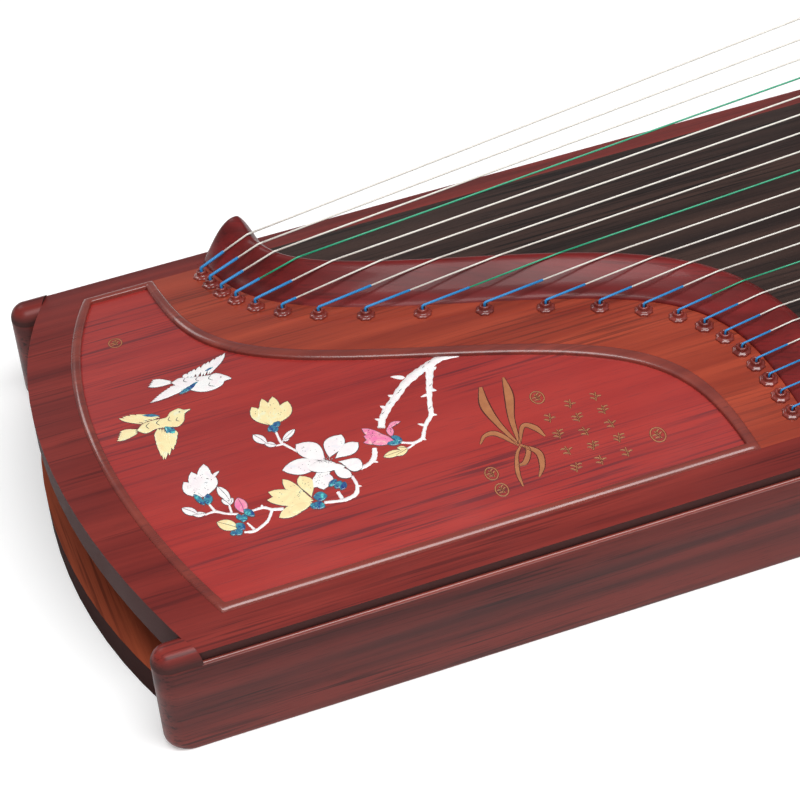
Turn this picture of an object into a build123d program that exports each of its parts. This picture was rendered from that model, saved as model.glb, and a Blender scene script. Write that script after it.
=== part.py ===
from build123d import *
import math
import os

# A 21-string guzheng.  +X runs along the strings from the tail to the head, -Y is the player's
# side, +Z is up, and the origin is the middle of the underside.  All sizes are millimetres.

# ---- overall sizes ----
body_length = 1630.0
body_width = 350.0
side_height = 63.5
side_thickness = 21.0
arch_radius = 740.0
shell_edge = 6.73
shell_thickness = 9.0
shell_margin = 3.0
plank_count = 4

# ---- the two ends ----
end_bow = 41.03
frame_overhang = 15.0
sill_overhang = 17.0
sill_height = 22.0
sill_depth = 77.0
end_rail_width = 27.0
end_rail_thickness = 22.0
end_wall_setback = 18.0
end_wall_thickness = 12.0
ear_length = 28.0
ear_rise = 10.0
ear_round = 6.0

# ---- bottom board and the ribs inside ----
bottom_thickness = 8.0
bottom_inset = 4.0
sound_hole_width = 86.0
tail_sound_hole_length, tail_sound_hole_from_tail = 150.0, 255.0
head_sound_hole_length, head_sound_hole_from_head = 110.0, 345.0
sound_hole_to_rib = 9.0
rib_thickness = 12.0
rib_count = 5
first_rib_from_tail = 475.0
last_rib_from_head = 435.0
rib_window_width = 110.0
rib_border = 16.0

# ---- tail panel, its bead and the string board ----
rail_width = 20.0
bead_width = 6.0
bead_rise = 1.4
panel_sink = 1.8
panel_thickness = 6.0
inlay_thickness = 0.4

# The S-shaped edges are one curve, x = middle - reach * tanh((y - centre) / softness),
# set down at different places.
s_reach = 142.5
s_softness = 54.0
bead_middle, bead_centre = 234.0, -6.0
hole_middle, hole_centre = 261.6, 18.9
nut_middle, nut_centre = 268.6, 25.4

# ---- tail nut ----
nut_face_width = 24.5
nut_back_width = 11.5
nut_rise = 15.0
nut_crest_centre = 35.0
nut_near_inset = 2.0
nut_far_inset = 17.0
nut_tip_rise = 8.0
nut_tip_length = 24.0
nut_sections = 24

# ---- strings, bushings and bridges ----
string_count = 21
string_pitch = 13.7
string_lean = 2.3
string_thin = 0.8
string_thick = 1.3
bushing_flange_radius = 6.0
bushing_shank_radius = 4.0
bushing_bore_radius = 1.75
bushing_height = 4.5
bushing_tail = 1.5
bridge_first_from_head = 415.0
bridge_last_from_tail = 587.0
bridge_low = 44.0
bridge_extra = 34.0
bridge_foot = 18.0
bridge_base = 9.0
bridge_top = 3.6
bridge_cap = 2.6
bridge_clearance = 0.3
string_clearance = 0.2
nut_bend_lift = 0.6

# ---- head nut, tuning box, lid and pins ----
head_joint_from_head = 285.0
head_nut_from_head = 255.0
head_nut_width = 15.0
head_nut_height = 10.0
head_nut_inset = 4.0
head_hole_from_head = 223.0
lid_start_from_head = 197.0
lid_end_from_head = 47.0
lid_inset = 4.0
lid_gap = 0.4
lid_swing_room = 2.0
lid_ledge_width = 3.5
lid_ledge_thickness = 3.2
lid_ledge_gap = 0.3
lid_pin_radius = 2.0
lid_pin_clearance = 0.06
lid_pin_inset = 5.0
lid_pin_grip = 8.0
lid_pin_reach = 14.0
block_start_from_head = 185.0
block_end_from_head = 81.0
block_inset = 7.0
pin_rows_from_head = (167.0, 132.0, 97.0)
pin_radius = 3.5
pin_bore_clearance = 0.06
pin_floor = 4.0
pin_headroom = 5.1
pin_showing = 21.0
pin_square = 5.4
pin_square_length = 9.0
coil_under_head = 13.0
coil_width = 4.4
coil_wire = 0.55

# ---- places worked out from the sizes ----
half_length = body_length / 2
half_width = body_width / 2
side_inner = half_width - side_thickness
shell_half = half_width - shell_margin
crown_height = side_height + shell_edge + arch_radius - math.sqrt(arch_radius**2 - shell_half**2)
ear_nose_x = sill_overhang - half_length
end_radius = (shell_half**2 + end_bow**2) / (2 * end_bow)
end_centre_x = ear_nose_x - frame_overhang + end_radius
bottom_top = bottom_inset + bottom_thickness
rail_inner = shell_half - rail_width
bushing_depth = shell_thickness + bushing_tail
nut_crest_height = crown_height + nut_rise
nut_near_end = nut_near_inset - side_inner
nut_far_end = half_width - nut_far_inset
head_joint_x = half_length - head_joint_from_head
head_nut_x = half_length - head_nut_from_head
head_nut_reach = side_inner - head_nut_inset
head_hole_x = half_length - head_hole_from_head
lid_start_x = half_length - lid_start_from_head
lid_end_x = half_length - lid_end_from_head
lid_half_width = side_inner - lid_inset
block_start_x = half_length - block_start_from_head
block_end_x = half_length - block_end_from_head
block_half_width = side_inner - block_inset
bridge_first_x = half_length - bridge_first_from_head
bridge_last_x = bridge_last_from_tail - half_length
tall = 400.0


def arch_z(y, drop=0.0):
    """Height of the arched top at y, or of the surface that lies drop below it."""
    return crown_height - arch_radius + math.sqrt((arch_radius - drop) ** 2 - y * y)


def arch_lean(y):
    """Angle of the arched top at y, in degrees."""
    return math.degrees(math.asin(y / arch_radius))


def along_tail(distance):
    """X of a place given as its distance from the tail ears' noses."""
    return ear_nose_x + distance


def block(x0, x1, y0, y1, z0, z1):
    """Plain box between two corners."""
    return Pos((x0 + x1) / 2, (y0 + y1) / 2, (z0 + z1) / 2) * Box(x1 - x0, y1 - y0, z1 - z0)


def under_arch(drop=0.0, half=half_width, low=0.0):
    """Everything below the arched surface, the whole length of the body."""
    edge_z = arch_z(half, drop)
    walls = Polyline((-half, edge_z), (-half, low), (half, low), (half, edge_z))
    top = ThreePointArc((half, edge_z), (0, arch_z(0, drop)), (-half, edge_z))
    section = make_face(Plane.YZ * (walls + top))
    return Pos(-half_length, 0, 0) * extrude(section, body_length, dir=(1, 0, 0))


def arched_layer(top_drop, bottom_drop, half=half_width):
    """A curved sheet between two depths under the arched top."""
    return under_arch(top_drop, half) - under_arch(bottom_drop, half + 1, -1)


def make_shell():
    """The arched top's section: a curved sheet with a flange that sits on the side boards."""
    inner = under_arch(shell_thickness, side_inner, -1)
    shell = under_arch(0, shell_half, side_height) - inner
    return shell


def s_curve(middle, centre, y):
    """Distance from the ears' noses of an S-shaped edge at y."""
    return middle - s_reach * math.tanh((y - centre) / s_softness)


def tailward_of_s(middle, centre):
    """Tall prism of everything on the tail side of an S-shaped edge."""
    steps = 24
    reach = half_width + 5
    edge = []
    for i in range(steps + 1):
        y = -reach + 2 * reach * i / steps
        edge.append((along_tail(s_curve(middle, centre, y)), y))
    back_x = -half_length - 10
    rest = Polyline(edge[-1], (back_x, reach), (back_x, -reach), edge[0])
    return extrude(make_face(Spline(*edge) + rest), tall)


def end_disc(radius):
    """Tall round prism whose tail side is the curved end of the body."""
    return Pos(end_centre_x, 0, tall / 2) * Cylinder(radius, tall)


def mirrored(part):
    """The same piece at the head."""
    return mirror(part, about=Plane.YZ)


def make_side_board(side):
    """Side board with a domed ear at each end; side is -1 near the player and +1 across."""
    length = 2 * abs(ear_nose_x)
    middle_y = side * (half_width - side_thickness / 2)
    nose = side_thickness / 2 - 0.1
    plan = RectangleRounded(length, side_thickness, nose)
    board = Pos(0, middle_y, 0) * extrude(plan, side_height)
    ear = extrude(plan, side_height + ear_rise)
    ear = fillet(ear.faces().sort_by(Axis.Z)[-1].edges(), ear_round)
    ear = Pos(0, middle_y, 0) * ear
    ear = ear - block(-half_length, half_length, -half_width, half_width, -1, side_height - 1)
    ear = ear & block(ear_nose_x - 1, along_tail(ear_length), -half_width, half_width, 0, tall)
    ear = ear - end_disc(end_radius)
    return board + ear + mirrored(ear)


def make_end_boards():
    """Sill and recessed wall under each end of the body."""
    inside = block(-half_length, 0, -side_inner, side_inner, 0, tall)
    sill = end_disc(end_radius + sill_overhang - frame_overhang) & inside
    sill = sill & block(-half_length, -half_length + sill_depth, -half_width, half_width, 0, sill_height)
    outer = end_radius - end_wall_setback
    wall = (end_disc(outer) - end_disc(outer - end_wall_thickness)) & inside
    wall = wall & block(-half_length, -half_length + sill_depth, -half_width, half_width, sill_height, tall)
    wall = wall & under_arch(end_rail_thickness)
    pieces = [sill, wall]
    return Compound(children=[*pieces, *[mirrored(piece) for piece in pieces]])


def make_end_rail_skirt():
    """Thick outer edge of the frame at the tail."""
    ring = end_disc(end_radius) - end_disc(end_radius - end_rail_width)
    ring = ring & block(-half_length, end_centre_x - end_radius / 2, -side_inner, side_inner, 0, tall)
    return ring & arched_layer(shell_thickness - 1, end_rail_thickness)


def panel_area(inset):
    """Tall prism of the recessed panel, drawn in by inset on every side."""
    reach = rail_inner - inset
    area = end_disc(end_radius - end_rail_width - inset)
    area = area & block(-half_length, 0, -reach, reach, 0, tall)
    return area & tailward_of_s(bead_middle - inset, bead_centre - inset)


def seam_area():
    """Tall prism of everything on the tail side of the joint that the nut covers."""
    return tailward_of_s(nut_middle + nut_face_width / 2, nut_centre + nut_face_width / 2)


def string_area():
    """Tall prism of the S-shaped string board."""
    area = seam_area() - tailward_of_s(bead_middle, bead_centre)
    return area & block(-half_length, 0, -rail_inner, rail_inner, 0, tall)


def make_tail_frame(shell):
    """Curved end rail in one piece with the rails round the panel, and the long rails beyond it."""
    frame = shell & end_disc(end_radius) & seam_area()
    frame = frame - panel_area(0) - string_area()
    return Compound(children=[frame + make_end_rail_skirt(), *make_long_rails(shell)])


def make_long_rails(shell):
    """Rails that carry the frame's edges on beside the soundboard, up to the head."""
    rest = shell - seam_area()
    near = rest & block(-half_length, head_joint_x, -half_width, -rail_inner, 0, tall)
    far = rest & block(-half_length, head_joint_x, rail_inner, half_width, 0, tall)
    return [near, far]


def make_tail_panel():
    """Recessed panel and the rounded bead round it."""
    panel = panel_area(bead_width) & arched_layer(panel_sink, panel_sink + panel_thickness)
    bead = (panel_area(0) - panel_area(bead_width)) & arched_layer(-bead_rise, shell_thickness)
    return Compound(children=[panel, bead])


def petal(x, y, length, width, angle):
    """Plan of one petal or leaf, pointed along its angle from its root."""
    half = width / 2
    tip = (length, 0)
    upper = ThreePointArc((0, 0), (length * 0.5, half), tip)
    lower = ThreePointArc(tip, (length * 0.5, -half), (0, 0))
    return Pos(x, y) * Rot(0, 0, angle) * make_face(upper + lower)


def make_flower(x, y, length, count, spread, lean):
    """Plans of a fan of petals round one centre."""
    petals = []
    for i in range(count):
        angle = lean + spread * (i / count - 0.5)
        shift = 0.22 * length
        px = x + shift * math.cos(math.radians(angle))
        py = y + shift * math.sin(math.radians(angle))
        width = min(0.5 * length, 2 * (shift - 0.2) * math.tan(math.radians(spread / count / 2)))
        petals.append(petal(px, py, length, width, angle))
    return petals


def make_branch(points, width):
    """Plan of one limb as a run of straight twigs with a gap at each joint."""
    limbs = []
    for (x0, y0), (x1, y1) in zip(points, points[1:]):
        length = math.hypot(x1 - x0, y1 - y0) - width
        angle = math.degrees(math.atan2(y1 - y0, x1 - x0))
        limbs.append(Pos((x0 + x1) / 2, (y0 + y1) / 2) * Rot(0, 0, angle) * Rectangle(length, width))
    return limbs


def make_bird(x, y, size, lean):
    """Plans of a flying bird: body, tail and two wings."""
    shapes = []
    parts = (
        (0, 0, 1.0, 0.34, 0),
        (-0.05, 0.04, 0.62, 0.2, 180),
        (0.38, 0.2, 0.8, 0.26, 118),
        (0.3, -0.2, 0.7, 0.24, 220),
    )
    for along, across, length, width, turn in parts:
        c, s = math.cos(math.radians(lean)), math.sin(math.radians(lean))
        px = x + size * (along * c - across * s)
        py = y + size * (along * s + across * c)
        shapes.append(petal(px, py, size * length, size * width, lean + turn))
    return shapes


def make_tail_inlay():
    """Shell inlay of a magnolia branch and two birds, as thin leaves on the panel."""
    plans = []
    plans += make_flower(along_tail(128), -42, 20, 6, 360, 20)
    plans += make_flower(along_tail(150), 8, 15, 3, 120, 95)
    plans += make_flower(along_tail(98), -72, 14, 3, 110, 160)
    plans += make_flower(along_tail(172), -22, 12, 3, 110, 60)
    plans += make_flower(along_tail(70), -30, 15, 4, 110, 110)
    joints = ((158, -44), (176, -38), (196, 8), (228, 16))
    plans += make_branch([(along_tail(u), y) for u, y in joints], 4)
    plans += make_bird(along_tail(86), 48, 24, 15)
    plans += make_bird(along_tail(52), 18, 24, -20)
    layer = arched_layer(panel_sink - inlay_thickness, panel_sink) & panel_area(bead_width + 2)
    return Compound(children=[solid for plan in plans for solid in (extrude(plan, tall) & layer).solids()])


def string_y(number):
    """Y of a string; number 1 is nearest the player."""
    return (number - (string_count + 1) / 2) * string_pitch + string_lean


def string_radius(number):
    """Radius of a string, thicker towards the bass."""
    share = (number - 1) / (string_count - 1)
    return (string_thin + (string_thick - string_thin) * share) / 2


def hole_points():
    """Centres of the tail holes and of the head holes, as (x, y)."""
    ys = [string_y(n) for n in string_numbers()]
    tail = [(along_tail(s_curve(hole_middle, hole_centre, y)), y) for y in ys]
    head = [(head_hole_x, y) for y in ys]
    return tail, head


def string_numbers():
    """Numbers of the strings, from the treble to the bass."""
    return range(1, string_count + 1)


def on_top(x, y, piece, drop=0.0):
    """Place a piece drawn upright on the arched top, square to its surface."""
    return Pos(x, y, arch_z(y)) * Rot(-arch_lean(y), 0, 0) * Pos(0, 0, -drop) * piece


def drilled(part, points):
    """The part with a bushing hole at each point."""
    drill = Cylinder(bushing_shank_radius, 4 * shell_thickness)
    for x, y in points:
        part = part - on_top(x, y, drill)
    return part


def make_bushing():
    """Turned bushing: shank, wide flange, waist and raised collar."""
    flange = bushing_flange_radius
    collar = bushing_bore_radius + 1.5
    outline = Polyline(
        (bushing_bore_radius, -bushing_depth),
        (bushing_shank_radius, -bushing_depth),
        (bushing_shank_radius, 0.03),
        (flange, 0.03),
        (flange, 1.0),
        (flange - 1.2, 1.9),
        (collar, 2.6),
        (collar, bushing_height - 0.5),
        (collar - 0.5, bushing_height),
        (bushing_bore_radius, bushing_height),
        (bushing_bore_radius, -bushing_depth),
    )
    return revolve(make_face(Plane.XZ * outline), Axis.Z)


def make_bushings():
    """One bushing for each string at the tail and at the head."""
    bushing = make_bushing()
    tail, head = hole_points()
    return Compound(children=[on_top(x, y, bushing) for x, y in tail + head])


def nut_base(y):
    """Point of the nut's tail edge at y and the level direction across the nut there."""
    slope = -s_reach / s_softness / math.cosh((y - nut_centre) / s_softness) ** 2
    size = math.hypot(1, slope)
    return along_tail(s_curve(nut_middle, nut_centre, y)), y, 1 / size, -slope / size


def nut_crest_z(y):
    """Height of the tail nut's crest at y, with the tip that turns up at the far end."""
    rise = crest_tip(y) * nut_tip_rise
    return nut_crest_height - arch_radius + math.sqrt(arch_radius**2 - (y - nut_crest_centre) ** 2) + rise


def crest_tip(y):
    """Share of the far tip's rise at y."""
    share = min(1.0, max(0.0, (y - nut_far_end + nut_tip_length) / nut_tip_length))
    return share * share * (3 - 2 * share)


def nut_crest_x(y):
    """X where the crest crosses y."""
    low, high = y - 40.0, y + 10.0
    for _ in range(40):
        middle = (low + high) / 2
        x, base_y, across_x, across_y = nut_base(middle)
        if base_y + across_y * nut_face_width < y:
            low = middle
        else:
            high = middle
    x, base_y, across_x, across_y = nut_base((low + high) / 2)
    return x + across_x * nut_face_width


def make_nut_section(y):
    """Upright section across the tail nut at one place of its tail edge."""
    x, base_y, across_x, across_y = nut_base(y)
    crest_y = base_y + across_y * nut_face_width
    floor = arch_z(min(crest_y, half_width - 2))
    rise = nut_crest_z(crest_y) - floor
    width = nut_face_width + nut_back_width
    face = ((0, 0.1), (8, 0.34), (15, 0.62), (20.5, 0.86), (nut_face_width, 1.0))
    back = ((nut_face_width + 3.5, 0.93), (width - 3, 0.6), (width, 0.1))
    low = side_height - 10
    corners = [(0, low)] + [(s, floor + share * rise) for s, share in face + back] + [(width, low)]
    points = [(x + across_x * s, base_y + across_y * s, z) for s, z in corners]
    return make_face(Polyline(*points, close=True))


def make_tail_nut():
    """S-shaped nut, lofted across its length and seated on the arched top."""
    last = nut_far_end
    sections = []
    for i in range(nut_sections + 1):
        y = nut_near_end + (last - nut_near_end) * i / nut_sections
        sections.append(make_nut_section(y))
    nut = loft(sections, ruled=True)
    return nut - under_arch(0, half_width + 30, -10)


def make_soundboard(shell):
    """Arched soundboard between the rails, glued up from planks side by side."""
    board = shell - seam_area()
    width = 2 * rail_inner / plank_count
    planks = []
    for i in range(plank_count):
        edge = i * width - rail_inner
        planks.append(board & block(-half_length, head_joint_x, edge, edge + width, 0, tall))
    return Compound(children=planks)


def rib_places():
    """X of the tail side of each rib, evenly spaced."""
    first, last = first_rib_from_tail - half_length, half_length - last_rib_from_head
    return [first + (last - first) * i / (rib_count - 1) for i in range(rib_count)]


def sound_holes():
    """Plans of the openings in the bottom board, as (x, length); the middle one lies between two ribs."""
    before, after = rib_places()[rib_count // 2 : rib_count // 2 + 2]
    gap = after - before - rib_thickness
    return [
        (tail_sound_hole_from_tail - half_length, tail_sound_hole_length),
        ((before + rib_thickness + after) / 2, gap - 2 * sound_hole_to_rib),
        (half_length - head_sound_hole_from_head, head_sound_hole_length),
    ]


def make_bottom_board():
    """Bottom board between the side boards and the two sills, with three rounded openings."""
    reach = half_length - sill_depth
    board = block(-reach, reach, -side_inner, side_inner, bottom_inset, bottom_top)
    for x, length in sound_holes():
        hole = extrude(RectangleRounded(length, sound_hole_width, sound_hole_width / 2 - 1), tall)
        board = board - Pos(x, 0, -1) * hole
    return board


def make_ribs():
    """Arched ribs under the soundboard, each with two windows."""
    ribs = []
    inside = under_arch(shell_thickness, side_inner, bottom_top)
    window_top = under_arch(shell_thickness + rib_border, side_inner, bottom_top + rib_border)
    for x in rib_places():
        rib = inside & block(x, x + rib_thickness, -side_inner, side_inner, 0, tall)
        for side in (-1, 1):
            middle = side * (rib_window_width + rib_border) / 2
            low, high = middle - rib_window_width / 2, middle + rib_window_width / 2
            rib = rib - (window_top & block(x - 1, x + rib_thickness + 1, low, high, 0, tall))
        ribs.append(rib)
    return Compound(children=ribs)


def lid_opening():
    """Tall prism of the opening that the lid closes."""
    near = -lid_half_width - lid_gap
    far = lid_half_width + lid_swing_room
    return block(lid_start_x - lid_gap, lid_end_x + lid_gap, near, far, 0, tall)


def lid_pivot():
    """Y and Z of the lid's pivot line."""
    y = lid_half_width - lid_pin_inset
    return y, arch_z(y, shell_thickness / 2)


def make_ledge():
    """Ledge that the lid's near edge rests over."""
    edge = -lid_half_width - lid_gap
    low = shell_thickness + lid_ledge_thickness
    inner = edge + lid_ledge_width + lid_gap
    under_frame = block(lid_start_x, lid_end_x, -side_inner, edge, 0, tall)
    under_frame = under_frame & arched_layer(shell_thickness, low)
    under_lid = block(lid_start_x, lid_end_x, edge, inner, 0, tall)
    under_lid = under_lid & arched_layer(shell_thickness + lid_ledge_gap, low)
    return under_frame + under_lid


def make_head_frame(shell):
    """Arched top of the head: nut bed, bushing row, rails round the lid and the curved end."""
    head_side = mirrored(end_disc(end_radius))
    frame = shell & head_side & block(head_joint_x, half_length, -half_width, half_width, 0, tall)
    frame = frame + mirrored(make_end_rail_skirt())
    frame = frame - lid_opening() + make_ledge()
    y, z = lid_pivot()
    bore = Pos(lid_start_x, y, z) * Rot(0, 90, 0) * Cylinder(lid_pin_radius, 2 * lid_pin_grip)
    frame = frame - bore - Pos(lid_end_x - lid_start_x, 0, 0) * bore
    return drilled(frame, hole_points()[1])


def make_head_nut():
    """Straight nut that follows the arched top, with a rounded crest."""
    half = head_nut_width / 2
    bar = arched_layer(-head_nut_height, 0, half_width + 5)
    bar = bar & block(head_nut_x - half, head_nut_x + half, -head_nut_reach, head_nut_reach, 0, tall)
    top_edges = bar.edges().filter_by(GeomType.CIRCLE).group_by(Axis.Z)[-1]
    return fillet(top_edges, half - 2)


def make_lid():
    """Lid of the tuning box, with a bore in each end for its pivot pins."""
    area = block(lid_start_x, lid_end_x, -lid_half_width, lid_half_width, 0, tall)
    lid = area & arched_layer(0, shell_thickness)
    y, z = lid_pivot()
    bore = Cylinder(lid_pin_radius + lid_pin_clearance, 2 * (lid_pin_reach + 1))
    for x in (lid_start_x, lid_end_x):
        lid = lid - Pos(x, y, z) * Rot(0, 90, 0) * bore
    return lid


def make_lid_pins():
    """The two pivot pins, pressed into the frame."""
    y, z = lid_pivot()
    pins = []
    for x, way in ((lid_start_x, 1), (lid_end_x, -1)):
        pin = Cylinder(lid_pin_radius, lid_pin_grip + lid_pin_reach)
        shift = way * (lid_pin_reach - lid_pin_grip) / 2
        pins.append(Pos(x + shift, y, z) * Rot(0, 90, 0) * pin)
    return Compound(children=pins)


def pin_place(number):
    """Centre of a tuning pin; its string runs along the side of the coil."""
    return half_length - pin_rows_from_head[number % len(pin_rows_from_head)], string_y(number)


def pin_head():
    """Height of the tuning pins' heads, clear of the lid as it swings."""
    return arch_z(string_y(string_count), shell_thickness) - pin_headroom


def pin_foot():
    """Height of the tuning pins' lower ends."""
    return bottom_top + pin_floor


def coil_height():
    """Height of the middle of the coils."""
    return pin_head() - coil_under_head


def coil_radius():
    """Radius of the middle line of the string's coil on its pin."""
    return pin_radius + coil_wire


def make_pin_block():
    """Block that holds the tuning pins."""
    top = pin_head() - pin_showing
    body = block(block_start_x, block_end_x, -block_half_width, block_half_width, bottom_top, top)
    drill = Cylinder(pin_radius + pin_bore_clearance, tall, align=(Align.CENTER, Align.CENTER, Align.MIN))
    for number in string_numbers():
        x, y = pin_place(number)
        body = body - Pos(x, y, pin_foot() - 1) * drill
    return body


def make_tuning_pin(number):
    """Tuning pin with a squared head and the string's coil."""
    x, y = pin_place(number)
    shaft_top = pin_head() - pin_square_length
    upright = (Align.CENTER, Align.CENTER, Align.MIN)
    shaft = Pos(0, 0, pin_foot()) * Cylinder(pin_radius, shaft_top - pin_foot(), align=upright)
    square = Pos(0, 0, shaft_top) * Box(pin_square, pin_square, pin_square_length, align=upright)
    pin = shaft + chamfer(square.faces().sort_by(Axis.Z)[-1].edges(), 0.8)
    coil = Pos(0, 0, coil_height()) * Cylinder(coil_radius() + coil_wire, coil_width)
    return Pos(x, y, 0) * (pin + coil)


def bridge_x(number):
    """X of a bridge, in a straight slant from the treble to the bass."""
    share = (number - 1) / (string_count - 1)
    return bridge_first_x + (bridge_last_x - bridge_first_x) * share


def bridge_height(number):
    """Height of a bridge over the arched top, taller towards the bass."""
    share = (number - 1) / (string_count - 1)
    return bridge_low + bridge_extra * share**3


def make_bridge(number):
    """Two-footed bridge, thin at the top, with a notch for its string."""
    y = string_y(number)
    foot = arch_z(y)
    high = bridge_height(number)
    low = -0.25 * bridge_foot
    half = bridge_cap
    left = ThreePointArc((-bridge_foot, 5), (-0.5 * bridge_foot, 0.4 * high), (-half, high - 5))
    right = ThreePointArc((half, high - 5), (0.5 * bridge_foot, 0.4 * high), (bridge_foot, 5))
    top = Polyline((-half, high - 5), (-half, high), (half, high), (half, high - 5))
    bottom = Polyline((bridge_foot, 5), (bridge_foot, low), (-bridge_foot, low), (-bridge_foot, 5))
    outline = make_face(left + top + right + bottom)
    gap = 0.55 * bridge_foot
    arch = ThreePointArc((-gap, 0), (0, gap), (gap, 0))
    opening = make_face(arch + Polyline((gap, 0), (gap, 2 * low), (-gap, 2 * low), (-gap, 0)))
    profile = outline - opening
    body = extrude(Plane.YZ * profile, bridge_base / 2, both=True)
    wedge = Polyline(
        (-bridge_base / 2, low), (-bridge_base / 2, 6), (-bridge_top / 2, high),
        (bridge_top / 2, high), (bridge_base / 2, 6), (bridge_base / 2, low), close=True,
    )
    body = body & extrude(Plane.XZ * make_face(wedge), 2 * bridge_foot, both=True)
    radius = string_radius(number)
    notch = Pos(0, 0, high + radius) * Rot(0, 90, 0) * Cylinder(2 * radius, 20)
    body = Pos(bridge_x(number), y, foot) * (body - notch)
    return body - under_arch(-bridge_clearance, half_width + 5, -10)


def bridge_seat(number):
    """Height of a string's centre on its bridge."""
    return arch_z(string_y(number)) + bridge_height(number) + string_clearance + bridge_top / 10


def off_surface(x, y, height):
    """Point at a height above the arched top, square to its surface."""
    lean = math.radians(arch_lean(y))
    return (x, y + height * math.sin(lean), arch_z(y) + height * math.cos(lean))


def make_string(number):
    """One string from its knot under the tail to its tuning pin."""
    y = string_y(number)
    radius = string_radius(number)
    lift = radius + string_clearance
    tail, head = hole_points()
    tail_x = tail[number - 1][0]
    pin_x, pin_y = pin_place(number)
    route = [
        off_surface(tail_x, y, -bushing_depth - 4),
        off_surface(tail_x, y, bushing_height + 2 * lift),
        (nut_crest_x(y), y, nut_crest_z(y) + lift + nut_bend_lift),
        (bridge_x(number), y, bridge_seat(number)),
        (head_nut_x, y, arch_z(y) + head_nut_height + lift + nut_bend_lift),
        off_surface(head_hole_x, y, bushing_height + 2 * lift),
        off_surface(head_hole_x, y, -bushing_depth - 4),
        (pin_x - pin_radius, pin_y + coil_radius(), coil_height()),
    ]
    path = FilletPolyline(*route, radius=(1.5, 6, 12, 6, 1.5, 4))
    start = Plane(origin=path @ 0, z_dir=path % 0)
    return sweep(start * Circle(radius), path)


def save(name, part):
    """Write one sub-part."""
    export_step(part, f"parts/{name}.step")


def main():
    os.makedirs("parts", exist_ok=True)
    shell = make_shell()
    tail_holes, head_holes = hole_points()
    save("side_board_near", make_side_board(-1))
    save("side_board_far", make_side_board(1))
    save("end_boards", make_end_boards())
    save("bottom_board", make_bottom_board())
    save("arch_ribs", make_ribs())
    save("soundboard", make_soundboard(shell))
    save("tail_frame", make_tail_frame(shell))
    save("tail_panel", make_tail_panel())
    save("tail_inlay", make_tail_inlay())
    save("string_board", drilled(shell & string_area(), tail_holes))
    save("string_bushings", make_bushings())
    save("tail_nut", make_tail_nut())
    save("head_frame", make_head_frame(shell))
    save("head_nut", make_head_nut())
    save("pin_block", make_pin_block())
    save("box_lid", make_lid())
    save("lid_pins", make_lid_pins())
    save("strings", Compound(children=[make_string(number) for number in string_numbers()]))
    for number in string_numbers():
        save(f"bridge_{number:02d}", make_bridge(number))
        save(f"tuning_pin_{number:02d}", make_tuning_pin(number))


main()
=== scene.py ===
# %% [markdown]
# # A 21-string guzheng, finished in Blender
# The body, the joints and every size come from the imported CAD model.  This lesson loads that model
# as a fixed frame and gives the parts that keep their CAD shape their lacquer or their metal.  It
# then builds the pieces that a lathe, a knife or a pair of hands would finish: the side boards, the
# tail panel with its bead, the shell inlay and the carving, the moulded tail nut, the turned
# bushings and the strings.

# %% Load the frame
import math
import random

import bpy
import numpy as np
from mathutils import Matrix, Vector


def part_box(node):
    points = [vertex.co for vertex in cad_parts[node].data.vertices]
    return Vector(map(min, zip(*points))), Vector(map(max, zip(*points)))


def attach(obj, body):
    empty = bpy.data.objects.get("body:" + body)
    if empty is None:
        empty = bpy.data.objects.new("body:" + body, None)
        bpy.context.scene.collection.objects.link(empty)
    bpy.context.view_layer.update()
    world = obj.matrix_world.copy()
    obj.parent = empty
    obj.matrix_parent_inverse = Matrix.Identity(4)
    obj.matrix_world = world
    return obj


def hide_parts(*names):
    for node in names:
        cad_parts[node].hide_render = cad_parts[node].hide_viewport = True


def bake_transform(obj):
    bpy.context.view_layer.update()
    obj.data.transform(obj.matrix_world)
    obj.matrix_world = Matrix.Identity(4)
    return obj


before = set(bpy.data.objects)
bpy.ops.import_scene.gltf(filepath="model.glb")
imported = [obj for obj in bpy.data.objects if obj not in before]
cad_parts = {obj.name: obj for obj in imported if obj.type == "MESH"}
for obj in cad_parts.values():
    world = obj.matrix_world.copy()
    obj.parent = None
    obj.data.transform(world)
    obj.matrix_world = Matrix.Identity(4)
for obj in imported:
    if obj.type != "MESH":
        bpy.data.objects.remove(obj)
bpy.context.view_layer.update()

# %% [markdown]
# ## The sizes that the maker works from
# A luthier writes sizes in millimetres, so the shapes below are drawn in millimetres and turned to
# metres once, when a mesh is made.  X runs along the strings from the tail to the head, -Y is the
# player's side and the underside is Z = 0.  The overall length and width are read from the frame;
# the rest are the instrument's own driving sizes.

# %% Driving sizes
MM = 0.001
side_low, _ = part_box("side_board_near")
sill_overhang = 17.0
ear_nose_x = side_low.x / MM
half_length = sill_overhang - ear_nose_x
half_width = -side_low.y / MM
side_thickness = 21.0
side_height = 63.5
ear_rise = 10.0
arch_radius = 740.0
crown_height = 90.5
end_radius = 381.0
frame_overhang = 15.0
end_rail_width = 27.0
rail_width = 20.0
shell_margin = 3.0
panel_sink = 1.8
bead_width, bead_rise = 6.0, 1.4
shell_half = half_width - shell_margin
rail_inner = shell_half - rail_width
end_centre_x = ear_nose_x - frame_overhang + end_radius
string_count, string_pitch, string_lean = 21, 13.7, 2.3
string_thin, string_thick = 0.8, 1.3
print("half length", round(half_length, 2), "half width", round(half_width, 2), "ear nose at",
    round(ear_nose_x, 2))


# %% [markdown]
# ## The curves that everything sits on
# The top is an arch of one radius across the body.  The bead, the row of tail holes and the nut all
# follow the same S-shaped curve, set down at different places.  A hyperbolic tangent draws that S
# with three numbers, which is easier to read and to change than a row of points.

# %% The arch and the S curve
def arch_z(y, drop=0.0):
    """Height of the arched top at y, or of the surface that lies drop below it."""
    return crown_height - arch_radius + math.sqrt((arch_radius - drop) ** 2 - y * y)


def along_tail(distance):
    """X of a place given as its distance from the tail ears' noses."""
    return ear_nose_x + distance


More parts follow.
